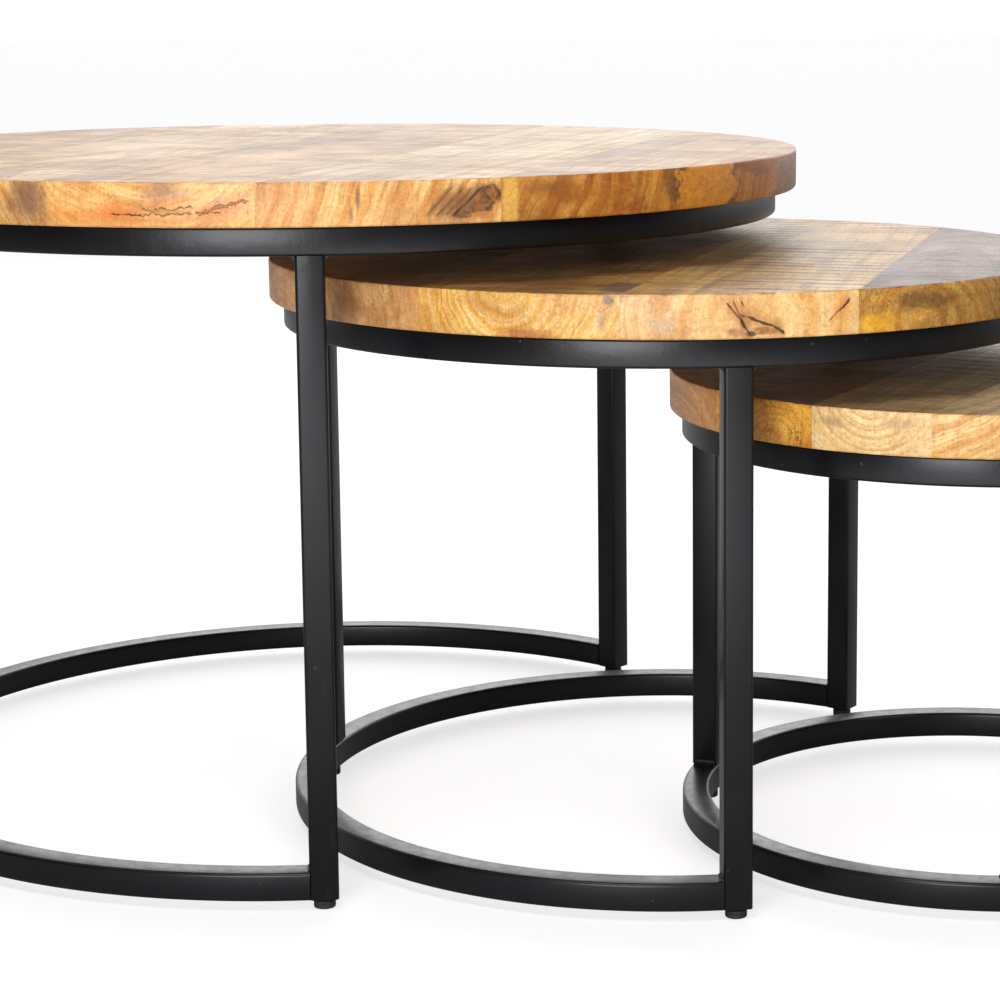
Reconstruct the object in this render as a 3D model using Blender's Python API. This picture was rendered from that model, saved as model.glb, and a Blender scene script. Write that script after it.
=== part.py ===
"""Three round nesting tables: glued hardwood tops on welded square-tube frames.

Each frame is a full ring under the top, a C-shaped ring near the floor, and three legs.
The C is open between the front and the rear leg, so the next smaller table slides in.
Metres, +Z up.  The origin is under the middle of the whole set, at floor level.
"""

import math

import bmesh
import bpy
from mathutils import Matrix, Vector

# Square tube, wall, wood and glide sizes shared by the three tables.
TUBE = 0.018
WALL = 0.0015
CHAMFER = 0.0018
WOOD = 0.027
WOOD_EASE = 0.0015
FIT_GAP = 0.0003
PLATE = 0.003
PAD_RADIUS = 0.0068
PAD_HEIGHT = 0.0050
COLLAR_RADIUS = 0.0045
COLLAR_HEIGHT = 0.0012
STEM_RADIUS = 0.0030
STEM_TOP = 0.0200
FOOT = PAD_HEIGHT + COLLAR_HEIGHT + FIT_GAP

# Tabs welded inside the top ring, each with one wood screw.
TAB_LENGTH = 0.026
TAB_WIDTH = 0.016
TAB_THICK = 0.003
TAB_CLEAR = 0.0009
SCREW_RADIUS = 0.0020
SCREW_HOLE = 0.0026
SCREW_LENGTH = 0.016
HEAD_RADIUS = 0.0042
HEAD_HEIGHT = 0.0024
TAB_ANGLES = (0.0, 120.0, 240.0)

# How far each smaller table stands out of the one before it: distance, heading.
FAN = ((0.2690, -20.4), (0.2200, -15.8))

# Sizes of each table.  Seams are the glue lines, measured across the boards from the
# centre; grain is the boards' heading, clockwise from +Y.
TABLES = (
    dict(
        name="large", height=0.450, top_r=0.346, ring_r=0.331, facets=64,
        front=-83.0, rear=49.5, back=163.3, grain=12.5,
        seams=(-0.182, -0.047, 0.086, 0.217),
    ),
    dict(
        name="medium", height=0.385, top_r=0.268, ring_r=0.2585, facets=52,
        front=-80.5, rear=56.5, back=167.0, grain=12.6,
        seams=(-0.097, 0.031, 0.164),
    ),
    dict(
        name="small", height=0.3135, top_r=0.2095, ring_r=0.2010, facets=44,
        front=-90.0, rear=54.0, back=162.0, grain=25.0,
        seams=(-0.119, -0.042, 0.0346, 0.112),
    ),
)


def clear_scene():
    for obj in list(bpy.data.objects):
        bpy.data.objects.remove(obj, do_unlink=True)


def material(name, colour, roughness, metallic):
    """A Principled material of one colour."""
    mat = bpy.data.materials.new(name)
    mat.use_nodes = True
    shader = mat.node_tree.nodes["Principled BSDF"]
    shader.inputs["Base Color"].default_value = (*colour, 1.0)
    shader.inputs["Roughness"].default_value = roughness
    shader.inputs["Metallic"].default_value = metallic
    return mat


def piece(name, bm, colour, roughness, metallic, parent=None, at=(0, 0, 0), turn=0.0):
    """Turns a bmesh into a named object with its own material."""
    bmesh.ops.remove_doubles(bm, verts=bm.verts, dist=1e-7)
    bmesh.ops.recalc_face_normals(bm, faces=bm.faces)
    mesh = bpy.data.meshes.new(name)
    bm.to_mesh(mesh)
    bm.free()
    mesh.materials.append(material(name, colour, roughness, metallic))
    mesh.shade_smooth()
    mesh.set_sharp_from_angle(angle=math.radians(35))
    obj = bpy.data.objects.new(name, mesh)
    bpy.context.scene.collection.objects.link(obj)
    obj.parent = parent
    obj.location = at
    obj.rotation_euler = (0, 0, math.radians(turn))
    return obj


def cut(obj, cutters):
    """Subtracts each cutter, and keeps it as a hidden helper."""
    for k, cutter in enumerate(cutters):
        cutter.hide_render = True
        cutter.display_type = "WIRE"
        mod = obj.modifiers.new(f"hole_{k}", "BOOLEAN")
        mod.operation = "DIFFERENCE"
        mod.solver = "EXACT"
        mod.object = cutter
    return obj


def drill(name, parent, at, radius, length, sides=16):
    """A vertical round cutter, its middle at the given point."""
    bm = bmesh.new()
    bmesh.ops.create_cone(
        bm, cap_ends=True, segments=sides, radius1=radius, radius2=radius, depth=length
    )
    return piece(name, bm, (0.5, 0.5, 0.5), 0.5, 0.0, parent, at)


def square_profile(side, chamfer):
    """Corners of a square, counter-clockwise, each one cut off when chamfer is set."""
    h = side / 2
    if not chamfer:
        return [(-h, -h), (h, -h), (h, h), (-h, h)]
    c = h - chamfer
    return [(-c, -h), (c, -h), (h, -c), (h, c), (c, h), (-c, h), (-h, c), (-h, -c)]


def skin(bm, low, high):
    """Side faces between two loops that have the same number of corners."""
    for j in range(len(low)):
        i = (j + 1) % len(low)
        bm.faces.new((low[j], low[i], high[i], high[j]))


def rim(bm, outer, inner):
    """The end face of a tube: eight outer corners round four inner ones."""
    for j in range(4):
        i = (j + 1) % 4
        bm.faces.new((outer[2 * j], outer[2 * j + 1], inner[i], inner[j]))
        bm.faces.new((outer[2 * j + 1], outer[(2 * j + 2) % 8], inner[i]))


def ring_mesh(mid_r, z_mid, facets, arc=None):
    """A square tube bent to a circle, or to an arc whose ends lie along two leg faces."""
    bm = bmesh.new()
    stations = facets if arc is None else math.ceil(facets * (arc[1] - arc[0]) / 360) + 1

    def station(index, profile):
        verts = []
        for x, z in profile:
            r = mid_r + x
            if arc is None:
                a = 2 * math.pi * index / facets
            else:
                trim = math.asin((TUBE / 2 + FIT_GAP) / r)
                lo, hi = math.radians(arc[0]) + trim, math.radians(arc[1]) - trim
                a = lo + (hi - lo) * index / (stations - 1)
            verts.append(bm.verts.new((r * math.cos(a), r * math.sin(a), z_mid + z)))
        return verts

    ends = []
    for profile in (square_profile(TUBE, CHAMFER), square_profile(TUBE - 2 * WALL, 0)):
        rows = [station(k, profile) for k in range(stations)]
        for k in range(stations if arc is None else stations - 1):
            skin(bm, rows[k], rows[(k + 1) % stations])
        ends.append((rows[0], rows[-1]))
    if arc is not None:
        for k in (0, 1):
            rim(bm, ends[0][k], ends[1][k])
    return bm


def leg_mesh(length, floor_plate):
    """A square tube standing on z = 0, open at the top, with an optional end plate."""
    bm = bmesh.new()

    def loop(profile, z):
        return [bm.verts.new((x, y, z)) for x, y in profile]

    outer = square_profile(TUBE, CHAMFER)
    inner = square_profile(TUBE - 2 * WALL, 0)
    out_low, out_top = loop(outer, 0.0), loop(outer, length)
    in_low, in_top = loop(inner, PLATE if floor_plate else 0.0), loop(inner, length)
    skin(bm, out_low, out_top)
    skin(bm, in_low, in_top)
    rim(bm, out_top, in_top)
    if floor_plate:
        bm.faces.new(out_low)
        bm.faces.new(in_low)
    else:
        rim(bm, out_low, in_low)
    return bm


def board_outline(radius, lo, hi, nominal, facets):
    """The strip lo < across < hi of a disc, as (across, along) points."""
    def sweep(r):
        low = math.acos(lo / r) if lo > -nominal else math.pi
        return low, (math.acos(hi / r) if hi < nominal else 0.0)

    whole = sweep(nominal)
    steps = max(2, round(facets * (whole[0] - whole[1]) / (2 * math.pi)))
    start, stop = sweep(radius)
    first = lo > -nominal
    last = hi < nominal
    arc = [stop + (start - stop) * k / steps for k in range(steps + 1)]
    points = [(radius * math.cos(a), radius * math.sin(a)) for a in arc]
    mirror = [(x, -y) for x, y in reversed(points)]
    if not last:
        mirror = mirror[:-1]
    if not first:
        mirror = mirror[1:]
    return points + mirror


def board_mesh(spec, lo, hi):
    """One board of a round top, with the two rim edges eased."""
    bm = bmesh.new()
    r, facets = spec["top_r"], 2 * spec["facets"]
    z1 = spec["height"]
    z0 = z1 - WOOD
    rows = []
    for radius, z in (
        (r - WOOD_EASE, z0), (r, z0 + WOOD_EASE), (r, z1 - WOOD_EASE), (r - WOOD_EASE, z1)
    ):
        outline = board_outline(radius, lo, hi, r, facets)
        rows.append([bm.verts.new((x, y, z)) for x, y in outline])
    for low, high in zip(rows, rows[1:]):
        skin(bm, low, high)
    bm.faces.new(list(reversed(rows[0])))
    bm.faces.new(rows[-1])
    return bm


def stacked_mesh(rings, sides):
    """A turned solid from (radius, z) pairs, bottom to top, with flat ends."""
    bm = bmesh.new()
    rows = []
    for radius, z in rings:
        turn = [2 * math.pi * k / sides for k in range(sides)]
        rows.append([bm.verts.new((radius * math.cos(a), radius * math.sin(a), z)) for a in turn])
    for low, high in zip(rows, rows[1:]):
        skin(bm, low, high)
    bm.faces.new(list(reversed(rows[0])))
    bm.faces.new(rows[-1])
    return bm


def foot_mesh():
    """A screw-in glide: pad on the floor, metal collar, threaded stem."""
    edge = 0.0008
    return stacked_mesh(
        (
            (PAD_RADIUS - edge, 0.0), (PAD_RADIUS, edge), (PAD_RADIUS, PAD_HEIGHT - edge),
            (PAD_RADIUS - edge, PAD_HEIGHT), (COLLAR_RADIUS, PAD_HEIGHT),
            (COLLAR_RADIUS, PAD_HEIGHT + COLLAR_HEIGHT),
            (STEM_RADIUS, PAD_HEIGHT + COLLAR_HEIGHT), (STEM_RADIUS, STEM_TOP - 0.001),
            (STEM_RADIUS - 0.001, STEM_TOP),
        ),
        20,
    )


def screw_mesh():
    """A pan-head wood screw, head down, with its seat at z = 0."""
    return stacked_mesh(
        (
            (HEAD_RADIUS * 0.6, -HEAD_HEIGHT), (HEAD_RADIUS, -HEAD_HEIGHT * 0.45),
            (HEAD_RADIUS, 0.0), (SCREW_RADIUS, 0.0),
            (SCREW_RADIUS, SCREW_LENGTH - 0.004), (0.0004, SCREW_LENGTH),
        ),
        12,
    )


def tab_mesh():
    """A flat tab along +X with its top at z = 0 and a clearance hole for the screw."""
    bm = bmesh.new()
    bmesh.ops.create_cube(bm, size=1.0)
    size = Matrix.Diagonal((TAB_LENGTH, TAB_WIDTH, TAB_THICK, 1.0))
    bmesh.ops.transform(bm, matrix=size, verts=bm.verts)
    bmesh.ops.translate(bm, vec=(0, 0, -TAB_THICK / 2), verts=bm.verts)
    ends = [e for e in bm.edges if abs(e.verts[0].co.z - e.verts[1].co.z) > TAB_THICK / 2]
    inner = [e for e in ends if e.verts[0].co.x < 0]
    bmesh.ops.bevel(bm, geom=inner, offset=0.004, segments=2, affect="EDGES")
    return bm


def polar(radius, degrees, z=0.0):
    a = math.radians(degrees)
    return Vector((radius * math.cos(a), radius * math.sin(a), z))


def build_table(spec, centre):
    """One whole table, parented to an empty at the middle of its footprint."""
    name = spec["name"]
    root = bpy.data.objects.new(f"{name}_table", None)
    bpy.context.scene.collection.objects.link(root)
    root.location = centre
    black = ((0.020, 0.019, 0.021), 0.42, 0.0)
    mid_r = spec["ring_r"] - TUBE / 2
    under = spec["height"] - WOOD
    ring_z = under - FIT_GAP - TUBE / 2
    leg_top = ring_z - TUBE / 2 - FIT_GAP
    base_z = FOOT + TUBE / 2

    screw_r = spec["ring_r"] - TUBE - TAB_CLEAR - TAB_LENGTH * 0.62
    pilots = [
        drill(
            f"{name}_pilot_{k + 1}", root, polar(screw_r, a, under), SCREW_HOLE,
            2 * (SCREW_LENGTH + 0.002 - TAB_THICK),
        )
        for k, a in enumerate(TAB_ANGLES)
    ]

    edges = [-spec["top_r"], *spec["seams"], spec["top_r"]]
    across = Vector((math.cos(math.radians(-spec["grain"])), math.sin(math.radians(-spec["grain"]))))
    for k, (lo, hi) in enumerate(zip(edges, edges[1:])):
        lo += FIT_GAP / 2 if k else 0.0
        hi -= FIT_GAP / 2 if k < len(edges) - 2 else 0.0
        board = piece(
            f"{name}_board_{k + 1}", board_mesh(spec, lo, hi),
            (0.42, 0.25, 0.12), 0.55, 0.0, root, turn=-spec["grain"],
        )
        near = [
            pilots[j] for j, a in enumerate(TAB_ANGLES)
            if lo - 0.02 < polar(screw_r, a).xy.dot(across) < hi + 0.02
        ]
        cut(board, near)

    top = piece(f"{name}_top_ring", ring_mesh(mid_r, ring_z, spec["facets"]), *black, root)
    vent = drill(
        f"{name}_vent", root, polar(mid_r, 300.0, ring_z + TUBE / 2 - WALL / 2), 0.003, 0.006, 12
    )
    cut(top, [vent])

    base = piece(
        f"{name}_base_ring",
        ring_mesh(mid_r, base_z, spec["facets"], (spec["rear"], spec["front"] + 360.0)),
        *black, root,
    )
    thread = STEM_RADIUS + FIT_GAP
    cut(base, [drill(f"{name}_base_thread", root, polar(mid_r, spec["back"], FOOT), thread, 0.008)])

    for side in ("front", "rear", "back"):
        standing = side != "back"
        low = FOOT if standing else base_z + TUBE / 2 + FIT_GAP
        at = polar(mid_r, spec[side], low)
        leg = piece(
            f"{name}_leg_{side}", leg_mesh(leg_top - low, standing), *black, root, at, spec[side]
        )
        if standing:
            hole = polar(mid_r, spec[side], FOOT + PLATE / 2)
            cut(leg, [drill(f"{name}_thread_{side}", root, hole, thread, 0.008)])
        piece(
            f"{name}_foot_{side}", foot_mesh(), (0.018, 0.018, 0.019), 0.6, 0.0,
            root, polar(mid_r, spec[side]),
        )

    tab_r = spec["ring_r"] - TUBE - TAB_CLEAR - TAB_LENGTH / 2
    for k, angle in enumerate(TAB_ANGLES):
        seat = under - FIT_GAP
        tab = piece(
            f"{name}_tab_{k + 1}", tab_mesh(), *black, root, polar(tab_r, angle, seat), angle
        )
        hole = drill(f"{name}_tab_hole_{k + 1}", root, polar(screw_r, angle, seat), SCREW_HOLE, 0.02)
        cut(tab, [hole])
        piece(
            f"{name}_screw_{k + 1}", screw_mesh(), (0.55, 0.55, 0.53), 0.35, 1.0,
            root, polar(screw_r, angle, seat - TAB_THICK - FIT_GAP),
        )


def table_centres():
    """Where each table stands, with the origin under the middle of the set."""
    spots = [Vector((0.0, 0.0))]
    for distance, heading in FAN:
        spots.append(spots[-1] + polar(distance, heading).xy)
    radii = [spec["top_r"] for spec in TABLES]
    middle = Vector(
        [
            (min(s[k] - r for s, r in zip(spots, radii))
             + max(s[k] + r for s, r in zip(spots, radii))) / 2
            for k in (0, 1)
        ]
    )
    return [(s - middle).to_3d() for s in spots]


def main():
    clear_scene()
    for spec, centre in zip(TABLES, table_centres()):
        build_table(spec, centre)


main()
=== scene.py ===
"""Looks for a set of three round nesting tables: glued hardwood tops on welded black frames.

Each table is built from its own classes: a top of boards, a welded frame, screw-in glides
and hidden fixings.  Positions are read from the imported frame; sizes are dataclass fields.
Metres, +Z up.
"""

from __future__ import annotations

import logging
import math
from collections.abc import Callable
from dataclasses import dataclass, field
from enum import Enum

import bmesh
import bpy
from mathutils import Matrix, Vector, noise


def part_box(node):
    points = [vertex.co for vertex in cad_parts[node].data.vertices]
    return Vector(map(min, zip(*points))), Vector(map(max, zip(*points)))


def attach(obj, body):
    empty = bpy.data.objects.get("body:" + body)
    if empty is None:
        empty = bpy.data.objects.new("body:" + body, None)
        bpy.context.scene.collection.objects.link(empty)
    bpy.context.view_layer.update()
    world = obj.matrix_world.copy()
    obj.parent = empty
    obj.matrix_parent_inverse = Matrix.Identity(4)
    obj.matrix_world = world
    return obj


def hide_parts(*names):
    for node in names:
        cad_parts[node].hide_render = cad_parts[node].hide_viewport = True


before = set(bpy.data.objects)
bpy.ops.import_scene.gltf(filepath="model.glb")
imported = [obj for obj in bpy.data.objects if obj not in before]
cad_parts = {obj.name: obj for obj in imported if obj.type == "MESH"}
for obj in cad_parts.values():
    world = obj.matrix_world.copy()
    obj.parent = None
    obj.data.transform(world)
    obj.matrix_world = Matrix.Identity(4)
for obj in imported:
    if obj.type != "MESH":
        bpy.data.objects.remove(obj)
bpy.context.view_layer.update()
LOG = logging.getLogger("tables")

# Two heights less than LEVEL apart, and two places less than CLOSE apart, are the same.
LEVEL = 1e-5
CLOSE = 1e-4

Colour = tuple[float, float, float]
Point = tuple[float, float, float]
Socket = bpy.types.NodeSocket
Material = bpy.types.Material
Edge = bmesh.types.BMEdge
Face = bmesh.types.BMFace


class Place(Enum):
    """Where a leg stands in its frame."""

    FRONT = "front"
    REAR = "rear"
    BACK = "back"


class TableName(Enum):
    """The three tables, and the start of each of their piece names."""

    LARGE = "large"
    MEDIUM = "medium"
    SMALL = "small"

    @property
    def body(self) -> str:
        """Name of the moving body that this table is."""
        return f"{self.value}_table"


def srgb(code: str) -> Colour:
    """Turns six hex digits into linear red, green and blue."""
    parts = [int(code[k : k + 2], 16) / 255 for k in (0, 2, 4)]
    return tuple(c / 12.92 if c <= 0.04045 else ((c + 0.055) / 1.055) ** 2.4 for c in parts)


def rise(edge: Edge) -> float:
    """How much higher one end of an edge is than the other."""
    return abs(edge.verts[0].co.z - edge.verts[1].co.z)


def is_end(face: Face) -> bool:
    """Whether a face is the round upper end of a turned piece."""
    return face.normal.z > 0.99 and len(face.verts) > 8


def axis_of(node: str) -> Vector:
    """The point on the floor under the middle of a CAD node."""
    lo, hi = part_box(node)
    return Vector(((lo.x + hi.x) / 2, (lo.y + hi.y) / 2, 0.0))


class Bench:
    """Small steps of hand modelling, shared by every piece."""

    @staticmethod
    def clear() -> None:
        """Leaves edit mode and deselects everything."""
        if bpy.context.mode != "OBJECT":
            bpy.ops.object.mode_set(mode="OBJECT")
        bpy.ops.object.select_all(action="DESELECT")

    @staticmethod
    def hold(obj: bpy.types.Object) -> None:
        """Makes one object the active and only selected one."""
        Bench.clear()
        bpy.context.view_layer.objects.active = obj
        obj.select_set(True)

    @staticmethod
    def settle(name: str) -> bpy.types.Object:
        """Names the active object and applies its place to its mesh.

        Args:
            name: Piece name.

        Returns:
            The object, at the origin.
        """
        obj = bpy.context.active_object
        obj.name = name
        obj.data.name = name
        bpy.ops.object.transform_apply(location=True, rotation=True, scale=True)
        return obj

    @staticmethod
    def cylinder(
        name: str, at: Vector, radius: float, depth: float, sides: int
    ) -> bpy.types.Object:
        """Adds an upright cylinder.

        Args:
            name: Piece name.
            at: Its middle.
            radius: Its radius.
            depth: Its height.
            sides: How many sides it has.

        Returns:
            The new object.
        """
        Bench.clear()
        bpy.ops.mesh.primitive_cylinder_add(
            vertices=sides, radius=radius, depth=depth, end_fill_type="NGON", location=at
        )
        return Bench.settle(name)

    @staticmethod
    def block(name: str, at: Vector, size: Point, turn: float = 0.0) -> bpy.types.Object:
        """Adds a box.

        Args:
            name: Piece name.
            at: Its middle.
            size: Its three sides.
            turn: Its heading about +Z, in radians.

        Returns:
            The new object.
        """
        Bench.clear()
        bpy.ops.mesh.primitive_cube_add(size=1, location=at, rotation=(0, 0, turn), scale=size)
        return Bench.settle(name)

    @staticmethod
    def edit(obj: bpy.types.Object, mode: str = "EDGE") -> None:
        """Opens one object in edit mode with nothing selected.

        Args:
            obj: The object.
            mode: VERT, EDGE or FACE.
        """
        Bench.hold(obj)
        bpy.ops.object.mode_set(mode="EDIT")
        bpy.ops.mesh.select_mode(type=mode)
        bpy.ops.mesh.select_all(action="DESELECT")

    @staticmethod
    def pick(
        obj: bpy.types.Object,
        edges: Callable[[Edge], bool] | None = None,
        faces: Callable[[Face], bool] | None = None,
    ) -> int:
        """Selects edges or faces by a test, in edit mode.

        Args:
            obj: The object being edited.
            edges: Test for edges.
            faces: Test for faces.

        Returns:
            How many are selected.
        """
        bm = bmesh.from_edit_mesh(obj.data)
        bpy.ops.mesh.select_all(action="DESELECT")
        found = 0
        for item in bm.edges if edges else bm.faces:
            if (edges or faces)(item):
                item.select_set(True)
                found += 1
        bm.select_flush_mode()
        bmesh.update_edit_mesh(obj.data)
        return found

    @staticmethod
    def bevel(
        obj: bpy.types.Object,
        edges: Callable[[Edge], bool],
        offset: float,
        segments: int,
        profile: float = 0.5,
    ) -> None:
        """Rounds the edges that a test picks, in edit mode.

        Args:
            obj: The object being edited.
            edges: Test for edges.
            offset: Width of the rounding.
            segments: How many faces it has.
            profile: Its shape: 0.5 is round, less is hollow.
        """
        if Bench.pick(obj, edges=edges):
            bpy.ops.mesh.bevel(offset=offset, segments=segments, profile=profile, affect="EDGES")

    @staticmethod
    def thread(
        obj: bpy.types.Object,
        at: Vector,
        turns: int,
        rise: float,
        swell: float,
        tip: float | None = None,
    ) -> None:
        """Draws the selected end face up into a threaded shank.

        Args:
            obj: The object being edited.
            at: A point on the shank's axis.
            turns: How many crests the thread has.
            rise: Length of the shank.
            swell: Radius of a crest, in parts of the root's.
            tip: Radius of the point, in parts of the last crest's, or None for a blunt end.
        """
        for k in range(2 * turns):
            bpy.ops.mesh.extrude_region_move(
                TRANSFORM_OT_translate={"value": (0, 0, rise / turns / 2)}
            )
            grow = 1 / swell if k % 2 else swell
            if tip and k == 2 * turns - 1:
                grow = tip
            bm = bmesh.from_edit_mesh(obj.data)
            for vert in (v for v in bm.verts if v.select):
                vert.co.xy = at.xy + (vert.co.xy - at.xy) * grow
            bmesh.update_edit_mesh(obj.data)

    @staticmethod
    def close(obj: bpy.types.Object, smooth: float = 35.0) -> bpy.types.Object:
        """Turns all faces outwards, leaves edit mode and shades the piece.

        Args:
            obj: The object being edited.
            smooth: Angle in degrees over which an edge stays sharp.

        Returns:
            The same object.
        """
        bpy.ops.mesh.select_all(action="SELECT")
        bpy.ops.mesh.normals_make_consistent(inside=False)
        bpy.ops.mesh.select_all(action="DESELECT")
        bpy.ops.object.mode_set(mode="OBJECT")
        bpy.ops.object.shade_smooth_by_angle(angle=math.radians(smooth))
        return obj

    @staticmethod
    def join(name: str, parts: list[bpy.types.Object]) -> bpy.types.Object:
        """Joins several objects into one.

        Args:
            name: Name of the result.
            parts: The objects.

        Returns:
            The joined object.
        """
        Bench.clear()
        for part in parts:
            part.select_set(True)
        bpy.context.view_layer.objects.active = parts[0]
        bpy.ops.object.join()
        parts[0].name = name
        return parts[0]

    @staticmethod
    def finish(
        obj: bpy.types.Object,
        body: str,
        material: Material,
        slot: str,
        nodes: tuple[str, ...] = (),
    ) -> bpy.types.Object:
        """Dresses a piece and hangs it on its body.

        Args:
            obj: The piece.
            body: The body it moves with.
            material: Its material.
            slot: The material slot it stands for; not used.
            nodes: The CAD nodes that it replaces.

        Returns:
            The same object.
        """
        obj.data.materials.clear()
        obj.data.materials.append(material)
        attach(obj, body)
        if nodes:
            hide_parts(*nodes)
        LOG.info("%s: %d faces, on %s", obj.name, len(obj.data.polygons), body)
        return obj


class Graph:
    """A short way to write shader nodes."""

    def __init__(self, tree: bpy.types.NodeTree) -> None:
        """Starts on a node tree."""
        self.tree = tree

    def add(self, kind: str, inputs: dict | None = None, **settings: object) -> bpy.types.Node:
        """Adds a node.

        Args:
            kind: Node type, without its ShaderNode start.
            inputs: Values or sockets, by input name or index.
            settings: Properties of the node.

        Returns:
            The node.
        """
        node = self.tree.nodes.new(f"ShaderNode{kind}")
        for key, value in settings.items():
            setattr(node, key, value)
        for key, value in (inputs or {}).items():
            self.set(node.inputs[key], value)
        return node

    def set(self, socket: Socket, value: object) -> None:
        """Links a socket, or sets its value."""
        if isinstance(value, Socket):
            self.tree.links.new(value, socket)
        elif socket.type == "RGBA" and len(value) == 3:
            socket.default_value = (*value, 1.0)
        else:
            socket.default_value = value

    def math(self, how: str, a: object, b: object = 0.0, c: object = 0.0) -> Socket:
        """One step of arithmetic, and its result."""
        node = self.add("Math", {0: a, 1: b, 2: c}, operation=how)
        return node.outputs[0]

    def times(self, a: object, b: object) -> Socket:
        """The product of two values."""
        return self.math("MULTIPLY", a, b)

    def plus(self, a: object, b: object) -> Socket:
        """The sum of two values."""
        return self.math("ADD", a, b)

    def minus(self, a: object, b: object) -> Socket:
        """The first value less the second."""
        return self.math("SUBTRACT", a, b)

    def over(self, a: object, b: object) -> Socket:
        """The first value divided by the second."""
        return self.math("DIVIDE", a, b)

    def scale_add(self, a: object, b: object, c: object) -> Socket:
        """The product of the first two values, plus the third."""
        return self.math("MULTIPLY_ADD", a, b, c)

    def stretch(self, a: object, b: object) -> Socket:
        """A vector times another, axis by axis."""
        return self.vector("MULTIPLY", a, b)

    def vector(self, how: str, a: object, b: object = (0, 0, 0)) -> Socket:
        """One step of vector arithmetic, and its vector or value."""
        node = self.add("VectorMath", {0: a}, operation=how)
        if how == "SCALE":
            self.set(node.inputs["Scale"], b)
        else:
            self.set(node.inputs[1], b)
        return node.outputs["Value" if how in ("LENGTH", "DOT_PRODUCT") else "Vector"]

    def ramp(self, value: object, low: float, high: float, soft: bool = True) -> Socket:
        """Maps low..high to 0..1, clamped; high may be the smaller one."""
        node = self.add(
            "MapRange", {0: value, 1: low, 2: high, 3: 0.0, 4: 1.0}, clamp=True,
            interpolation_type="SMOOTHSTEP" if soft else "LINEAR",
        )
        return node.outputs[0]

    def noise(
        self, vector: object, scale: float, detail: float = 3.0, seed: object = 0.0, rough: float = 0.5
    ) -> Socket:
        """Solid noise in 0..1 with its own seed."""
        node = self.add(
            "TexNoise",
            {"Vector": vector, "W": seed, "Scale": scale, "Detail": detail, "Roughness": rough},
            noise_dimensions="4D",
        )
        return node.outputs["Fac"]

    def grain(
        self, vector: object, stretch: Point, detail: float, seed: object = 0.0, rough: float = 0.5
    ) -> Socket:
        """Solid noise whose grain size differs from axis to axis."""
        return self.noise(self.stretch(vector, stretch), 1.0, detail, seed, rough)

    def line_noise(self, value: object, scale: float, detail: float = 2.0) -> Socket:
        """Noise along one line, in 0..1."""
        node = self.add(
            "TexNoise", {"W": value, "Scale": scale, "Detail": detail}, noise_dimensions="1D"
        )
        return node.outputs["Fac"]

    def mix(self, share: object, a: object, b: object, how: str = "MIX") -> Socket:
        """Mixes two colours."""
        node = self.add("Mix", data_type="RGBA", blend_type=how)
        self.set(node.inputs[0], share)
        self.set(node.inputs[6], a)
        self.set(node.inputs[7], b)
        return node.outputs[2]


    def group(self, tree: bpy.types.NodeTree, inputs: dict) -> bpy.types.NodeOutputs:
        """Adds a node group, and gives its outputs.

        Args:
            tree: The group.
            inputs: Values or sockets by input name.

        Returns:
            The outputs.
        """
        node = self.add("Group")
        node.node_tree = tree
        for key, value in inputs.items():
            self.set(node.inputs[key], value)
        return node.outputs

    def layers(self, base: object, coats: tuple[tuple, ...]) -> Socket:
        """Lays colours over a base, one after the other.

        Args:
            base: The first colour.
            coats: Share, hex colour and, where it isn't MIX, blend mode of each coat.

        Returns:
            The colour with all its coats.
        """
        for share, code, *how in coats:
            base = self.mix(share, base, srgb(code), *how)
        return base

    def dress(
        self, shader: bpy.types.Node, colour: object, rough: object, height: object,
        strength: float, distance: float,
    ) -> None:
        """Gives a shader its colour, roughness and surface relief.

        Args:
            shader: The Principled shader.
            colour: Its base colour.
            rough: Its roughness.
            height: Relief, in parts of the distance.
            strength: Strength of the relief.
            distance: Depth of the relief, in metres.
        """
        bump = self.add("Bump", {"Height": height, "Strength": strength, "Distance": distance})
        self.set(shader.inputs["Base Color"], colour)
        self.set(shader.inputs["Roughness"], rough)
        self.set(shader.inputs["Normal"], bump.outputs[0])


class Group:
    """A named node group with named sockets, built once."""

    KINDS = {"v": "NodeSocketVector", "f": "NodeSocketFloat", "c": "NodeSocketColor"}

    def __init__(self, name: str, takes: str, gives: str) -> None:
        """Makes the group and its sockets.

        Args:
            name: Name of the group.
            takes: Inputs, as "v:Vector f:Seed".
            gives: Outputs, in the same form.
        """
        self.tree = bpy.data.node_groups.new(name, "ShaderNodeTree")
        for text, way in ((takes, "INPUT"), (gives, "OUTPUT")):
            for word in text.split():
                kind, label = word.split(":")
                self.tree.interface.new_socket(
                    label.replace("_", " "), in_out=way, socket_type=self.KINDS[kind]
                )
        self.graph = Graph(self.tree)
        self.source = self.tree.nodes.new("NodeGroupInput").outputs
        self.sink = self.tree.nodes.new("NodeGroupOutput").inputs

    def give(self, label: str, value: Socket) -> None:
        """Wires one output."""
        self.tree.links.new(value, self.sink[label])


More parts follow.
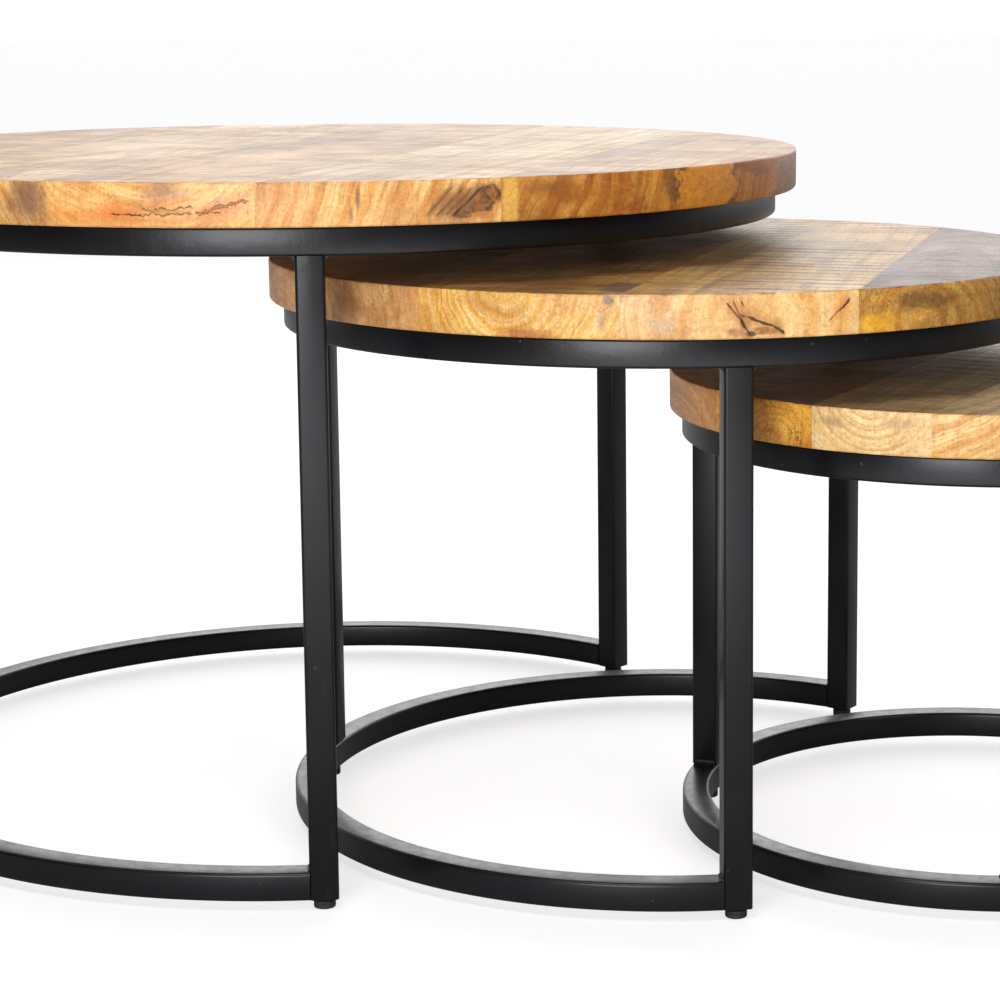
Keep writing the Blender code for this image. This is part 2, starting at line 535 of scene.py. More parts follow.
class Effects:
    """The shared surface effects, each one node group."""

    def __init__(self) -> None:
        """Builds every group."""
        self.figure = self._figure()
        self.saw = self._saw_marks()
        self.stain = self._stain()
        self.crack = self._crack()
        self.coat = self._coat()

    def _figure(self) -> bpy.types.NodeTree:
        """Growth rings round a pith line, curls, fibres, pores and slow colour changes.

        Returns:
            The node group.
        """
        group = Group(
            "wood_figure",
            "v:Vector f:Seed v:Pith f:Ring f:Wander f:Contrast f:Tilt",
            "f:Growth f:Late f:Arc f:Ray f:Hatch f:Blotch f:Cloud f:Curl "
            "f:Mottle f:Fibre f:Pore f:Fleck",
        )
        g, s = group.graph, group.source
        seed, place = s["Seed"], s["Vector"]
        half = (0.5, 0.5, 0.5)

        def sway(stretch: Point, reach: object) -> Socket:
            """A random offset with its own grain size."""
            cloud = g.add(
                "TexNoise",
                {"Vector": g.stretch(place, stretch), "W": seed, "Scale": 1.0, "Detail": 3.0},
                noise_dimensions="4D",
            ).outputs["Color"]
            return g.vector("SCALE", g.vector("SUBTRACT", cloud, half), reach)

        broad = sway((13.0, 2.8, 13.0), s["Wander"])
        small = sway((85.0, 14.0, 85.0), g.times(s["Wander"], 0.16))
        spot = g.vector("ADD", g.vector("ADD", place, broad), small)
        spot = g.vector("SUBTRACT", spot, s["Pith"])
        lean = g.plus(g.add("SeparateXYZ", {0: place}).outputs[1], 0.27)
        lean = g.add("CombineXYZ", {2: g.times(lean, s["Tilt"])}).outputs[0]
        spot = g.vector("ADD", spot, lean)
        flat = g.stretch(spot, (1.0, 0.0, 1.0))
        radius = g.plus(g.over(g.vector("LENGTH", flat), s["Ring"]), seed)
        shown = g.grain(place, (24.0, 5.0, 30.0), 2.0, g.plus(seed, 2.0))
        shown = g.times(g.ramp(shown, 0.32, 0.66), s["Contrast"])
        ring = g.minus(g.line_noise(radius, 1.0, 5.0), 0.5)
        group.give("Growth", g.scale_add(ring, g.plus(shown, 0.35), 0.5))
        tooth = g.math("FRACT", g.plus(radius, g.line_noise(radius, 0.6, 1.0)))
        group.give("Late", g.times(g.ramp(tooth, 0.62, 1.0), shown))
        parts = g.add("SeparateXYZ", {0: spot}).outputs
        angle = g.math("ARCTAN2", parts[2], parts[0])
        ray = g.line_noise(g.plus(angle, seed), 90.0, 3.0)
        group.give("Ray", g.times(g.ramp(ray, 0.52, 0.74), shown))
        dashes = g.add(
            "CombineXYZ",
            {0: g.times(radius, 5.0), 1: g.times(angle, 12.0),
             2: g.times(parts[1], 22.0)},
        ).outputs[0]
        group.give("Arc", g.ramp(g.noise(dashes, 1.0, 4.0, seed, 0.62), 0.53, 0.63))
        hatch = g.grain(place, (680.0, 680.0, 42.0), 4.0, seed, 0.7)
        group.give("Hatch", g.ramp(hatch, 0.46, 0.66))
        group.give("Blotch", g.grain(place, (13.0, 3.0, 17.0), 6.0, seed, 0.6))
        cloud = g.stretch(place, (38.0, 12.0, 44.0))
        group.give("Cloud", g.noise(cloud, 1.0, 5.0, g.plus(seed, 7.0), 0.62))
        curl = g.grain(place, (60.0, 20.0, 60.0), 4.0, g.plus(seed, 9.0))
        curl = g.line_noise(g.plus(curl, seed), 46.0, 4.0)
        gaps = g.grain(place, (90.0, 30.0, 90.0), 3.0, g.plus(seed, 1.0))
        group.give("Curl", g.times(curl, g.scale_add(g.ramp(gaps, 0.40, 0.60), 0.5, 0.6)))
        mottle = g.vector("ADD", place, broad)
        mottle = g.stretch(mottle, (14.0, 26.0, 14.0))
        group.give("Mottle", g.noise(mottle, 1.0, 6.0, g.plus(seed, 4.0), 0.66))
        fine = g.stretch(place, (520.0, 22.0, 520.0))
        group.give("Fibre", g.noise(fine, 1.0, 3.0, seed, 0.65))
        dash = g.stretch(place, (1000.0, 70.0, 1000.0))
        group.give("Pore", g.ramp(g.noise(dash, 1.0, 1.0, g.plus(seed, 3.0)), 0.62, 0.72))
        smudge = g.stretch(place, (330.0, 50.0, 260.0))
        group.give("Fleck", g.ramp(g.noise(smudge, 1.0, 4.0, g.plus(seed, 5.0), 0.7), 0.60, 0.74))
        return group.tree

    def _saw_marks(self) -> bpy.types.NodeTree:
        """Kerf lines across a board: broad regular ones in patches, fine ones between.

        Returns:
            The node group.
        """
        group = Group("saw_marks", "v:Vector f:Seed f:Spacing", "f:Line f:Height f:Scratch")
        g, s = group.graph, group.source
        parts = g.add("SeparateXYZ", {0: s["Vector"]}).outputs
        bend = g.grain(s["Vector"], (4.0, 3.0, 0.0), 1.0, s["Seed"])
        along = g.plus(parts[1], g.times(bend, 0.035))
        along = g.over(along, s["Spacing"])
        beat = g.math("SINE", g.times(along, math.tau))
        beat = g.scale_add(beat, 0.5, 0.5)
        loose = g.line_noise(g.plus(along, s["Seed"]), 1.3, 2.0)
        both = g.plus(g.times(beat, 0.36), g.times(loose, 0.64))
        broken = g.grain(s["Vector"], (26.0, 260.0, 0.0), 5.0, s["Seed"], 0.65)
        patch = g.grain(s["Vector"], (8.0, 6.0, 0.0), 2.0, s["Seed"])
        patch = g.ramp(patch, 0.36, 0.60)
        line = g.plus(both, g.times(g.minus(broken, 0.5), 0.8))
        group.give("Line", g.times(g.ramp(line, 0.54, 0.74), patch))
        group.give("Height", g.times(line, g.plus(patch, 0.35)))
        fine = g.grain(s["Vector"], (20.0, 300.0, 0.0), 5.0, s["Seed"], 0.72)
        group.give("Scratch", g.ramp(fine, 0.50, 0.62))
        return group.tree

    def _stain(self) -> bpy.types.NodeTree:
        """A ragged oval patch round a point, such as a knot, burr or bark pocket.

        Returns:
            The node group.
        """
        group = Group(
            "stain", "v:Vector v:Centre v:Size f:Ragged f:Soft f:Seed", "f:Mask f:Grit"
        )
        g, s = group.graph, group.source
        rough = g.add(
            "TexNoise",
            {"Vector": s["Vector"], "W": s["Seed"], "Scale": 130.0, "Detail": 5.0, "Roughness": 0.65},
            noise_dimensions="4D",
        ).outputs["Color"]
        spot = g.vector("DIVIDE", g.vector("SUBTRACT", s["Vector"], s["Centre"]), s["Size"])
        push = g.vector("SCALE", g.vector("SUBTRACT", rough, (0.5, 0.5, 0.5)), s["Ragged"])
        reach = g.vector("LENGTH", g.vector("ADD", spot, push))
        edge = g.minus(1.0, reach)
        mask = g.over(edge, s["Soft"])
        group.give("Mask", g.ramp(mask, 0.0, 1.0))
        grit = g.noise(s["Vector"], 230.0, 5.0, g.plus(s["Seed"], 8.0), 0.7)
        group.give("Grit", g.ramp(grit, 0.42, 0.58))
        return group.tree

    def _crack(self) -> bpy.types.NodeTree:
        """A thin wandering split with a coloured halo.

        Returns:
            The node group.
        """
        group = Group(
            "crack",
            "v:Vector v:Centre f:Slope f:Half f:Width f:Wander f:Hollow f:Seed",
            "f:Line f:Halo",
        )
        g, s = group.graph, group.source
        parts = g.add("SeparateXYZ", {0: g.vector("SUBTRACT", s["Vector"], s["Centre"])}).outputs
        along = g.plus(parts[0], s["Seed"])
        sway = g.times(g.minus(g.line_noise(along, 55.0, 2.0), 0.5), 2.0)
        kink = g.times(g.minus(g.line_noise(along, 330.0, 4.0), 0.5), 0.9)
        path = g.times(g.plus(sway, kink), s["Wander"])
        path = g.plus(path, g.times(parts[0], s["Slope"]))
        frayed = g.minus(g.noise(s["Vector"], 700.0, 3.0, s["Seed"], 0.7), 0.5)
        off = g.plus(g.minus(parts[2], path), g.times(frayed, 0.0016))
        off = g.math("ABSOLUTE", off)
        swell = g.line_noise(g.plus(along, 5.0), 170.0, 3.0)
        swell = g.scale_add(g.ramp(swell, 0.28, 0.66), 1.1, 0.25)
        share = g.over(g.math("ABSOLUTE", parts[0]), s["Half"])
        inside = g.ramp(share, 1.0, 0.82)
        near = g.ramp(parts[1], 0.060, 0.035)
        inside = g.times(inside, near)
        wide = g.times(s["Width"], swell)
        share_off = g.over(off, wide)
        line = g.ramp(share_off, 1.0, 0.55)
        core = g.times(g.ramp(share_off, 0.72, 0.35), s["Hollow"])
        line = g.minus(line, core)
        group.give("Line", g.times(line, inside))
        halo = g.ramp(g.over(off, g.times(s["Width"], 9.0)), 1.0, 0.0)
        soft = g.ramp(share, 1.25, 0.5)
        group.give("Halo", g.times(g.times(halo, soft), near))
        return group.tree

    def _coat(self) -> bpy.types.NodeTree:
        """Unevenness of a sprayed coat: cloudiness, orange peel, nibs, dust on upward faces that also
        paints a lighter sheen there, and fine scuffs.

        Returns:
            The node group.
        """
        group = Group("sprayed_coat", "v:Vector f:Seed", "f:Cloud f:Peel f:Nib f:Dust f:Scuff")
        g, s = group.graph, group.source
        group.give("Cloud", g.noise(s["Vector"], 16.0, 3.0, s["Seed"]))
        peel = g.noise(s["Vector"], 620.0, 2.0, s["Seed"])
        wave = g.noise(s["Vector"], 70.0, 2.0, s["Seed"])
        group.give("Peel", g.plus(g.times(peel, 0.35), wave))
        nib = g.noise(s["Vector"], 330.0, 0.0, g.plus(s["Seed"], 2.0))
        group.give("Nib", g.ramp(nib, 0.83, 0.87))
        # Upward faces get dust specks, and the same mask paints them lighter as a painted sheen of the
        # bright room above.
        geo = g.add("NewGeometry").outputs
        up = g.add("SeparateXYZ", {0: geo["Normal"]}).outputs[2]
        speck = g.noise(s["Vector"], 150.0, 5.0, s["Seed"], 0.7)
        group.give("Dust", g.times(g.ramp(up, 0.6, 0.97), g.ramp(speck, 0.35, 0.75)))
        strokes = g.stretch(s["Vector"], (330.0, 330.0, 26.0))
        where = g.ramp(g.noise(s["Vector"], 9.0, 2.0, g.plus(s["Seed"], 6.0)), 0.5, 0.62)
        scuff = g.ramp(g.noise(strokes, 1.0, 3.0, s["Seed"], 0.6), 0.62, 0.72)
        group.give("Scuff", g.times(scuff, where))
        return group.tree


def new_material(name: str) -> tuple[Material, Graph, bpy.types.Node]:
    """Starts a material.

    Args:
        name: Its name.

    Returns:
        The material, its graph and its Principled shader.
    """
    material = bpy.data.materials.new(name)
    material.use_nodes = True
    graph = Graph(material.node_tree)
    return material, graph, material.node_tree.nodes["Principled BSDF"]


@dataclass(frozen=True)
class Stain:
    """One ragged patch of another colour in a board."""

    centre: Point
    size: Point
    colour: str
    strength: float = 0.8
    ragged: float = 0.8
    soft: float = 0.5
    second: str | None = None
    on_face: bool = False


@dataclass(frozen=True)
class Crack:
    """One split on the rim, with the colour of its halo."""

    centre: Point
    half: float
    slope: float = 0.0
    width: float = 0.0007
    wander: float = 0.004
    halo: str = "C8702C"
    halo_strength: float = 0.6
    line: str = "34241E"
    hollow: float = 0.0


@dataclass(frozen=True)
class BoardLook:
    """Colours and figure of one board: its rim first, then its face."""

    light: str = "E9BE80"
    gold: str = "DDA35A"
    amber: str = "BD7430"
    brown: str = "7E5334"
    amber_share: float = 0.5
    brown_share: float = 0.35
    contrast: float = 0.8
    rays: float = 0.25
    curl: float = 0.0
    curl_colour: str = "8A4A1C"
    ring: float = 0.0055
    pith: tuple[float, float] = (0.0, -0.03)
    wander: float = 0.03
    tilt: float = 0.05
    arcs: float = 0.40
    hatch: float = 0.22
    face_light: str = "DDB882"
    face_mid: str = "AA7A46"
    face_dark: str = "6E4A30"
    face_dark_share: float = 0.6
    saw: float = 0.5
    saw_colour: str = "5E4A3A"
    seed: float = 1.0
    stains: tuple[Stain, ...] = ()
    cracks: tuple[Crack, ...] = ()


@dataclass(frozen=True)
class WoodFinish:
    """Oiled solid wood: sanded rim, rough-sawn face."""

    effects: Effects
    rim_roughness: float = 0.40
    face_roughness: float = 0.52
    kerf: float = 0.019

    def material(self, name: str, look: BoardLook, centre: Vector, heading: float) -> Material:
        """Makes one board's material.

        Args:
            name: Name of the material.
            look: The board's colours and figure.
            centre: Middle of the board's top, in the row frame.
            heading: Direction of the boards, clockwise from +Y, in radians.

        Returns:
            The material.
        """
        material, g, shader = new_material(name)
        place = g.add("TexCoord").outputs["Object"]
        middle = Matrix.Rotation(heading, 3, "Z") @ centre
        board = g.add(
            "Mapping", {"Vector": place, "Location": -middle, "Rotation": (0, 0, heading)}
        ).outputs[0]
        fig = g.group(
            self.effects.figure,
            {"Vector": board, "Seed": look.seed, "Pith": (look.pith[0], 0.0, look.pith[1]),
             "Ring": look.ring, "Wander": look.wander, "Contrast": look.contrast,
             "Tilt": look.tilt},
        )
        saw = g.group(self.effects.saw, {"Vector": board, "Seed": look.seed, "Spacing": self.kerf})
        normal = g.add("NewGeometry").outputs["Normal"]
        up = g.add("SeparateXYZ", {0: normal}).outputs[2]
        on_face = g.ramp(up, 0.55, 0.93)

        rim = g.mix(g.ramp(fig["Growth"], 0.42, 0.58), srgb(look.light), srgb(look.gold))
        rim = g.layers(rim, (
            (g.times(g.ramp(fig["Cloud"], 0.49, 0.61), look.amber_share), look.amber),
            (g.times(g.ramp(fig["Blotch"], 0.51, 0.62), look.brown_share), look.brown),
            (g.times(fig["Late"], 0.45), look.amber, "MULTIPLY"),
            (g.times(fig["Arc"], look.arcs), look.brown),
            (g.times(fig["Ray"], look.rays), "E8C48C", "SCREEN"),
        ))
        if look.curl:
            swirl = g.times(g.ramp(fig["Curl"], 0.52, 0.66), look.curl)
            rim = g.mix(swirl, rim, srgb(look.curl_colour))
        rim = g.layers(rim, (
            (g.times(fig["Fleck"], 0.38), look.brown),
            (g.times(g.ramp(fig["Mottle"], 0.48, 0.60), 0.30), look.amber),
            (g.times(fig["Hatch"], look.hatch), "A06C3C", "MULTIPLY"),
        ))

        dark, share = look.face_dark, look.face_dark_share
        face = g.mix(g.ramp(fig["Mottle"], 0.38, 0.66), srgb(look.face_light), srgb(look.face_mid))
        face = g.layers(face, (
            (g.times(g.ramp(fig["Growth"], 0.47, 0.62), share * 0.55), dark),
            (g.times(g.ramp(fig["Blotch"], 0.50, 0.64), share * 0.8), dark),
            (g.times(fig["Arc"], share * 0.7), dark),
            (g.times(saw["Scratch"], share * 0.55), dark),
            (g.times(saw["Line"], look.saw), look.saw_colour),
        ))

        colour = g.mix(on_face, rim, face)
        pit = g.times(fig["Pore"], 0.25)
        for k, mark in enumerate(look.stains):
            spot = g.group(
                self.effects.stain,
                {"Vector": place, "Centre": mark.centre, "Size": mark.size,
                 "Ragged": mark.ragged, "Soft": mark.soft, "Seed": look.seed + k},
            )
            tone = g.mix(spot["Grit"], srgb(mark.colour), srgb(mark.second or mark.colour))
            where = on_face if mark.on_face else g.minus(1.0, on_face)
            share = g.times(g.times(spot["Mask"], where), mark.strength)
            colour = g.mix(share, colour, tone)
        for k, split in enumerate(look.cracks):
            line = g.group(
                self.effects.crack,
                {"Vector": place, "Centre": split.centre, "Slope": split.slope,
                 "Half": split.half, "Width": split.width, "Wander": split.wander,
                 "Hollow": split.hollow, "Seed": look.seed * 3 + k},
            )
            colour = g.layers(colour, (
                (g.times(line["Halo"], split.halo_strength), split.halo),
                (g.times(line["Line"], 0.92), split.line),
            ))
            pit = g.math("MAXIMUM", pit, line["Line"])
        grainy = g.ramp(fig["Fibre"], 0.25, 0.75, False)
        colour = g.mix(0.45, colour, g.mix(grainy, srgb("84664A"), (1.0, 1.0, 1.0)), "MULTIPLY")
        colour = g.mix(g.times(fig["Pore"], 0.22), colour, srgb("5A3E28"))

        rough = g.mix(on_face, (self.rim_roughness,) * 3, (self.face_roughness,) * 3)
        rough = g.plus(rough, g.times(g.minus(fig["Cloud"], 0.5), 0.25))
        rough = g.plus(rough, g.times(pit, 0.25))
        shader.inputs["Specular IOR Level"].default_value = 0.42

        height = g.times(fig["Fibre"], 0.35)
        height = g.plus(height, g.times(g.times(saw["Height"], on_face), 2.4))
        height = g.minus(height, g.times(pit, 1.6))
        g.dress(shader, colour, rough, height, 0.55, 0.0006)
        return material


@dataclass(frozen=True)
class BlackCoat:
    """Satin black coat sprayed over welded steel."""

    effects: Effects
    colour: str = "09090C"
    cloud: str = "101014"
    haze_and_sheen: str = "3C3A3C"
    nib: str = "6C686A"
    roughness: float = 0.24

    def material(self, name: str, seed: float, joint: float) -> Material:
        """Makes the coat for one table.

        Args:
            name: Name of the material.
            seed: Seed of its unevenness.
            joint: Height of the ground welds under the top ring.

        Returns:
            The material.
        """
        material, g, shader = new_material(name)
        place = g.add("TexCoord").outputs["Object"]
        coat = g.group(self.effects.coat, {"Vector": place, "Seed": seed})
        colour = g.mix(g.ramp(coat["Cloud"], 0.35, 0.7), srgb(self.colour), srgb(self.cloud))
        colour = g.layers(colour, (
            # The haze colour on upward faces is dust plus a painted sheen; on scuffs it is wear.
            (g.times(coat["Dust"], 0.22), self.haze_and_sheen),
            (g.times(coat["Scuff"], 0.10), self.haze_and_sheen),
            (g.times(coat["Nib"], 0.20), self.nib),
        ))
        rough = g.scale_add(coat["Cloud"], 0.12, self.roughness)
        rough = g.scale_add(coat["Dust"], 0.14, rough)
        rough = g.scale_add(coat["Scuff"], 0.10, rough)
        shader.inputs["Specular IOR Level"].default_value = 0.30
        z = g.add("SeparateXYZ", {0: place}).outputs[2]
        near = g.ramp(g.math("ABSOLUTE", g.minus(z, joint)), 0.017, 0.002)
        ground = g.grain(place, (160.0, 160.0, 90.0), 2.0, seed)
        height = g.plus(coat["Peel"], g.times(coat["Nib"], 0.8))
        height = g.plus(height, g.times(g.times(near, ground), 2.2))
        g.dress(shader, colour, rough, height, 0.22, 0.0005)
        return material


@dataclass(frozen=True)
class SmallPartFinish:
    """Moulded plastic or plated metal of a small part."""

    effects: Effects
    colour: str
    worn: str
    roughness: float
    metallic: float

    def material(self, name: str) -> Material:
        """Makes the material.

        Args:
            name: Name of the material.

        Returns:
            The material.
        """
        material, g, shader = new_material(name)
        place = g.add("TexCoord").outputs["Object"]
        coat = g.group(self.effects.coat, {"Vector": place, "Seed": 4.0})
        colour = g.mix(g.ramp(coat["Cloud"], 0.3, 0.7), srgb(self.colour), srgb(self.worn))
        colour = g.mix(g.times(coat["Scuff"], 0.6), colour, srgb(self.worn))
        rough = g.plus(self.roughness, g.times(coat["Scuff"], 0.15))
        shader.inputs["Metallic"].default_value = self.metallic
        g.dress(shader, colour, rough, coat["Peel"], 0.35, 0.0002)
        return material


@dataclass
class Layout:
    """Where one table is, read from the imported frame."""

    name: TableName
    centre: Vector = field(init=False)
    ring_radius: float = field(init=False)
    top_z: float = field(init=False)
    under_z: float = field(init=False)
    ring_top: float = field(init=False)
    ring_low: float = field(init=False)
    base_top: float = field(init=False)
    base_low: float = field(init=False)

    def __post_init__(self) -> None:
        """Measures the boxes of the rings and boards."""
        lo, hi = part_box(f"{self.name.value}_top_ring")
        self.centre = axis_of(f"{self.name.value}_top_ring")
        self.ring_radius = (hi.x - lo.x) / 2
        self.ring_low, self.ring_top = lo.z, hi.z
        lo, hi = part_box(f"{self.name.value}_board_1")
        self.under_z, self.top_z = lo.z, hi.z
        lo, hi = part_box(f"{self.name.value}_base_ring")
        self.base_low, self.base_top = lo.z, hi.z

    def angle(self, node: str) -> float:
        """Heading of a node's middle, seen from the table's centre, in radians."""
        lo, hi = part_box(node)
        mid = (lo + hi) / 2 - self.centre
        return math.atan2(mid.y, mid.x)

    def polar(self, radius: float, angle: float, z: float) -> Vector:
        """A point at a radius and heading from the table's centre."""
        return self.centre + Vector((radius * math.cos(angle), radius * math.sin(angle), z))


@dataclass
class TableTop:
    """A round top glued up from boards."""

    layout: Layout
    radius: float
    heading: float
    seams: tuple[float, ...]
    looks: tuple[BoardLook, ...]
    finish: WoodFinish
    glue: float = 0.00006
    ease: float = 0.0017
    seam_ease: float = 0.00022
    longest_facet: float = 0.02
    facets: int = 240
    slice_step: float = 0.0065
    chatter: float = 0.00012
    chatter_pitch: tuple[float, float] = (160.0, 6.0)
    swell_pitch: float = 9.0
    wobble: float = 0.0005
    wobble_pitch: tuple[float, float] = (14.0, 30.0)
    wobble_depth: float = 0.004

    def across(self) -> Vector:
        """Unit vector across the boards."""
        a = math.radians(-self.heading)
        return Vector((math.cos(a), math.sin(a), 0.0))

    def along(self) -> Vector:
        """Unit vector along the boards."""
        a = math.radians(90 - self.heading)
        return Vector((math.cos(a), math.sin(a), 0.0))

    def build(self) -> None:
        """Builds and dresses every board."""
        edges = [-self.radius, *self.seams, self.radius]
        for k, look in enumerate(self.looks):
            lo = edges[k] + (self.glue / 2 if k else -1.0)
            hi = edges[k + 1] - (self.glue / 2 if k < len(self.looks) - 1 else -1.0)
            node = f"{self.layout.name.value}_board_{k + 1}"
            board = self.board(f"{node}_wood", lo, hi, look.seed)
            centre = self.layout.centre + Vector((0, 0, self.layout.top_z))
            material = self.finish.material(f"{node}_oiled", look, centre, math.radians(self.heading))
            Bench.finish(board, self.layout.name.body, material, "mango_wood", (node,))

    def board(self, name: str, lo: float, hi: float, seed: float) -> bpy.types.Object:
        """Saws one board out of the round: two seams, an eased rim, a rough face.

        Args:
            name: Piece name.
            lo: Its left side, measured across the boards from the centre.
            hi: Its right side.
            seed: Seed of its unevenness.

        Returns:
            The board.
        """
        top, low = self.layout.top_z, self.layout.under_z
        centre, across, along = self.layout.centre, self.across(), self.along()
        obj = Bench.cylinder(
            name, centre + Vector((0, 0, (top + low) / 2)), self.radius, top - low, self.facets
        )
        Bench.edit(obj)
        for offset, outer in ((lo, False), (hi, True)):
            if abs(offset) < self.radius:
                bpy.ops.mesh.select_all(action="SELECT")
                bpy.ops.mesh.bisect(
                    plane_co=centre + across * offset, plane_no=across, use_fill=True,
                    clear_inner=not outer, clear_outer=outer,
                )

        def reach(edge: Edge) -> bool:
            """Whether an edge lies on a rim of the round."""
            a, b = (v.co - centre for v in edge.verts)
            outer = min(a.xy.length, b.xy.length) > self.radius - 2 * CLOSE
            return rise(edge) < LEVEL and outer and edge.calc_length() < self.longest_facet

        Bench.bevel(obj, reach, self.ease, 3)

        def seam(edge: Edge) -> bool:
            """Whether an edge runs along a glue line at the top or the bottom."""
            a, b = (v.co - centre for v in edge.verts)
            level = rise(edge) < LEVEL and min(abs(a.z - top), abs(a.z - low)) < CLOSE
            return level and any(
                max(abs(a.dot(across) - s), abs(b.dot(across) - s)) < CLOSE for s in (lo, hi)
            )

        Bench.bevel(obj, seam, self.seam_ease, 1)
        steps = int(self.radius / self.slice_step)
        for k in range(-steps, steps + 1):
            bpy.ops.mesh.select_all(action="SELECT")
            bpy.ops.mesh.bisect(plane_co=centre + along * (k * self.slice_step), plane_no=along)
        for offset in (0.25, 0.5, 0.75):
            left, right = max(lo, -self.radius), min(hi, self.radius)
            bpy.ops.mesh.select_all(action="SELECT")
            bpy.ops.mesh.bisect(
                plane_co=centre + across * (left + (right - left) * offset), plane_no=across
            )
        bm = bmesh.from_edit_mesh(obj.data)
        for vert in bm.verts:
            spot = vert.co - centre
            flat = spot.xy.length
            if abs(vert.co.z - top) < LEVEL:
                fine, coarse = self.chatter_pitch
                chatter = noise.noise(Vector((spot.dot(along) * fine, spot.dot(across) * coarse, seed)))
                swell = noise.noise(Vector((*(spot.xy * self.swell_pitch), seed + 5)))
                vert.co.z += self.chatter * (chatter * 1.2 + swell) - 1.5 * self.chatter
            if flat > self.radius - self.wobble_depth:
                round_it, up_it = self.wobble_pitch
                lift = noise.noise(Vector((*(spot.xy * round_it), vert.co.z * up_it)))
                vert.co.xy += spot.xy.normalized() * (self.wobble * (lift - 0.6))
        bmesh.update_edit_mesh(obj.data)
        return Bench.close(obj, 40.0)


@dataclass
class WeldedFrame:
    """Top ring, open base ring, three legs and their welds, all of square tube."""

    layout: Layout
    coat: Material
    tube: float = 0.018
    corner: float = 0.0021
    steps: int = 200
    fillet: float = 0.0036
    hollow: float = 0.10
    hollow_reach: float = 0.96
    weld_inset: float = 0.0017
    foot_edge: float = 0.0007
    overlap: float = 0.0004
    drops: int = 9
    drop_radius: float = 0.0011

    def build(self) -> None:
        """Builds and dresses the whole frame."""
        name, lay = self.layout.name.value, self.layout
        mid = lay.ring_radius - self.tube / 2
        ring = self.ring(f"{name}_top_hoop", mid, (lay.ring_low + lay.ring_top) / 2)
        self.hang(ring, f"{name}_top_ring")
        legs = {p: lay.angle(f"{name}_leg_{p.value}") for p in Place}
        trim = (self.tube / 2 - self.overlap) / mid
        start, stop = legs[Place.REAR] + trim, legs[Place.FRONT] + math.tau - trim
        base_z = (lay.base_low + lay.base_top) / 2
        base = self.ring(f"{name}_base_hoop", mid, base_z, (start, stop))
        self.hang(base, f"{name}_base_ring")
        for place, angle in legs.items():
            node = f"{name}_leg_{place.value}"
            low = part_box(node)[0].z
            leg = self.leg(f"{name}_{place.value}_leg", mid, angle, low, lay.ring_low + self.overlap)
            self.hang(leg, node)
        self.hang(self.welds(f"{name}_welds", mid, legs))

    def hang(self, obj: bpy.types.Object, *nodes: str) -> None:
        """Dresses a steel piece and hangs it on the table."""
        Bench.finish(obj, self.layout.name.body, self.coat, "black_steel", nodes)

    def ring(
        self, name: str, mid: float, z: float, arc: tuple[float, float] | None = None
    ) -> bpy.types.Object:
        """Spins a rounded square into a hoop, or into an arc with closed ends.

        Args:
            name: Piece name.
            mid: Radius of the tube's middle.
            z: Height of the tube's middle.
            arc: First and last heading, in radians.

        Returns:
            The hoop.
        """
        first, last = arc or (0.0, math.tau)
        Bench.clear()
        bpy.ops.mesh.primitive_plane_add(
            size=self.tube, location=self.layout.polar(mid, first, z),
            rotation=(math.pi / 2, 0, first),
        )
        obj = Bench.settle(name)
        Bench.edit(obj, "VERT")
        bpy.ops.mesh.select_all(action="SELECT")
        bpy.ops.mesh.bevel(offset=self.corner, segments=4, affect="VERTICES")
        bpy.ops.mesh.select_all(action="SELECT")
        bpy.ops.mesh.delete(type="ONLY_FACE")
        bpy.ops.mesh.select_all(action="SELECT")
        steps = max(12, round(self.steps * (last - first) / math.tau))
        bpy.ops.mesh.spin(
            steps=steps, angle=first - last, center=self.layout.polar(0, 0, z), axis=(0, 0, 1)
        )
        bpy.ops.mesh.select_all(action="SELECT")
        bpy.ops.mesh.remove_doubles(threshold=1e-6)
        if arc is not None:
            bpy.ops.mesh.select_all(action="SELECT")
            bpy.ops.mesh.fill_holes(sides=0)
        return Bench.close(obj, 40.0)

    def leg(self, name: str, mid: float, angle: float, low: float, high: float) -> bpy.types.Object:
        """Cuts a length of tube with rounded corners.

        Args:
            name: Piece name.
            mid: Radius of the leg's middle from the table's centre.
            angle: Its heading, in radians.
            low: Height of its foot.
            high: Height of its head.

        Returns:
            The leg.
        """
        at = self.layout.polar(mid, angle, (low + high) / 2)
        obj = Bench.block(name, at, (self.tube, self.tube, high - low), angle)
        Bench.edit(obj)
        Bench.bevel(obj, lambda e: rise(e) > self.tube / 2, self.corner, 4)
        Bench.bevel(obj, lambda e: all(v.co.z < low + LEVEL for v in e.verts), self.foot_edge, 2)
        return Bench.close(obj, 40.0)

    def gusset(self, name: str, at: Vector, angle: float, side: int, up: int) -> bpy.types.Object:
        """One hollow-faced weld in the corner between a leg and a ring.

        Args:
            name: Piece name.
            at: The corner, in the middle of the tube's depth.
            angle: Heading of the leg, in radians.
            side: Which side of the leg, 1 or -1.
            up: 1 where the weld stands on the ring, -1 where it hangs under it.

        Returns:
            The weld.
        """
        f = self.fillet
        turn = Matrix.Rotation(angle, 3, "Z")
        centre = at + turn @ Vector((0, side * f / 2, up * f / 2))
        obj = Bench.block(name, centre, (self.tube - 2 * self.weld_inset, f, f), angle)
        Bench.edit(obj)
        outer = at + turn @ Vector((0, side * f, up * f))
        axis = turn @ Vector((1, 0, 0))

        def corner(edge: Edge) -> bool:
            """Whether an edge is the one away from both tubes."""
            for vert in edge.verts:
                away = vert.co - outer
                if (away - axis * away.dot(axis)).length > CLOSE:
                    return False
            return True

        Bench.bevel(obj, corner, f * self.hollow_reach, 10, self.hollow)
        return Bench.close(obj, 50.0)

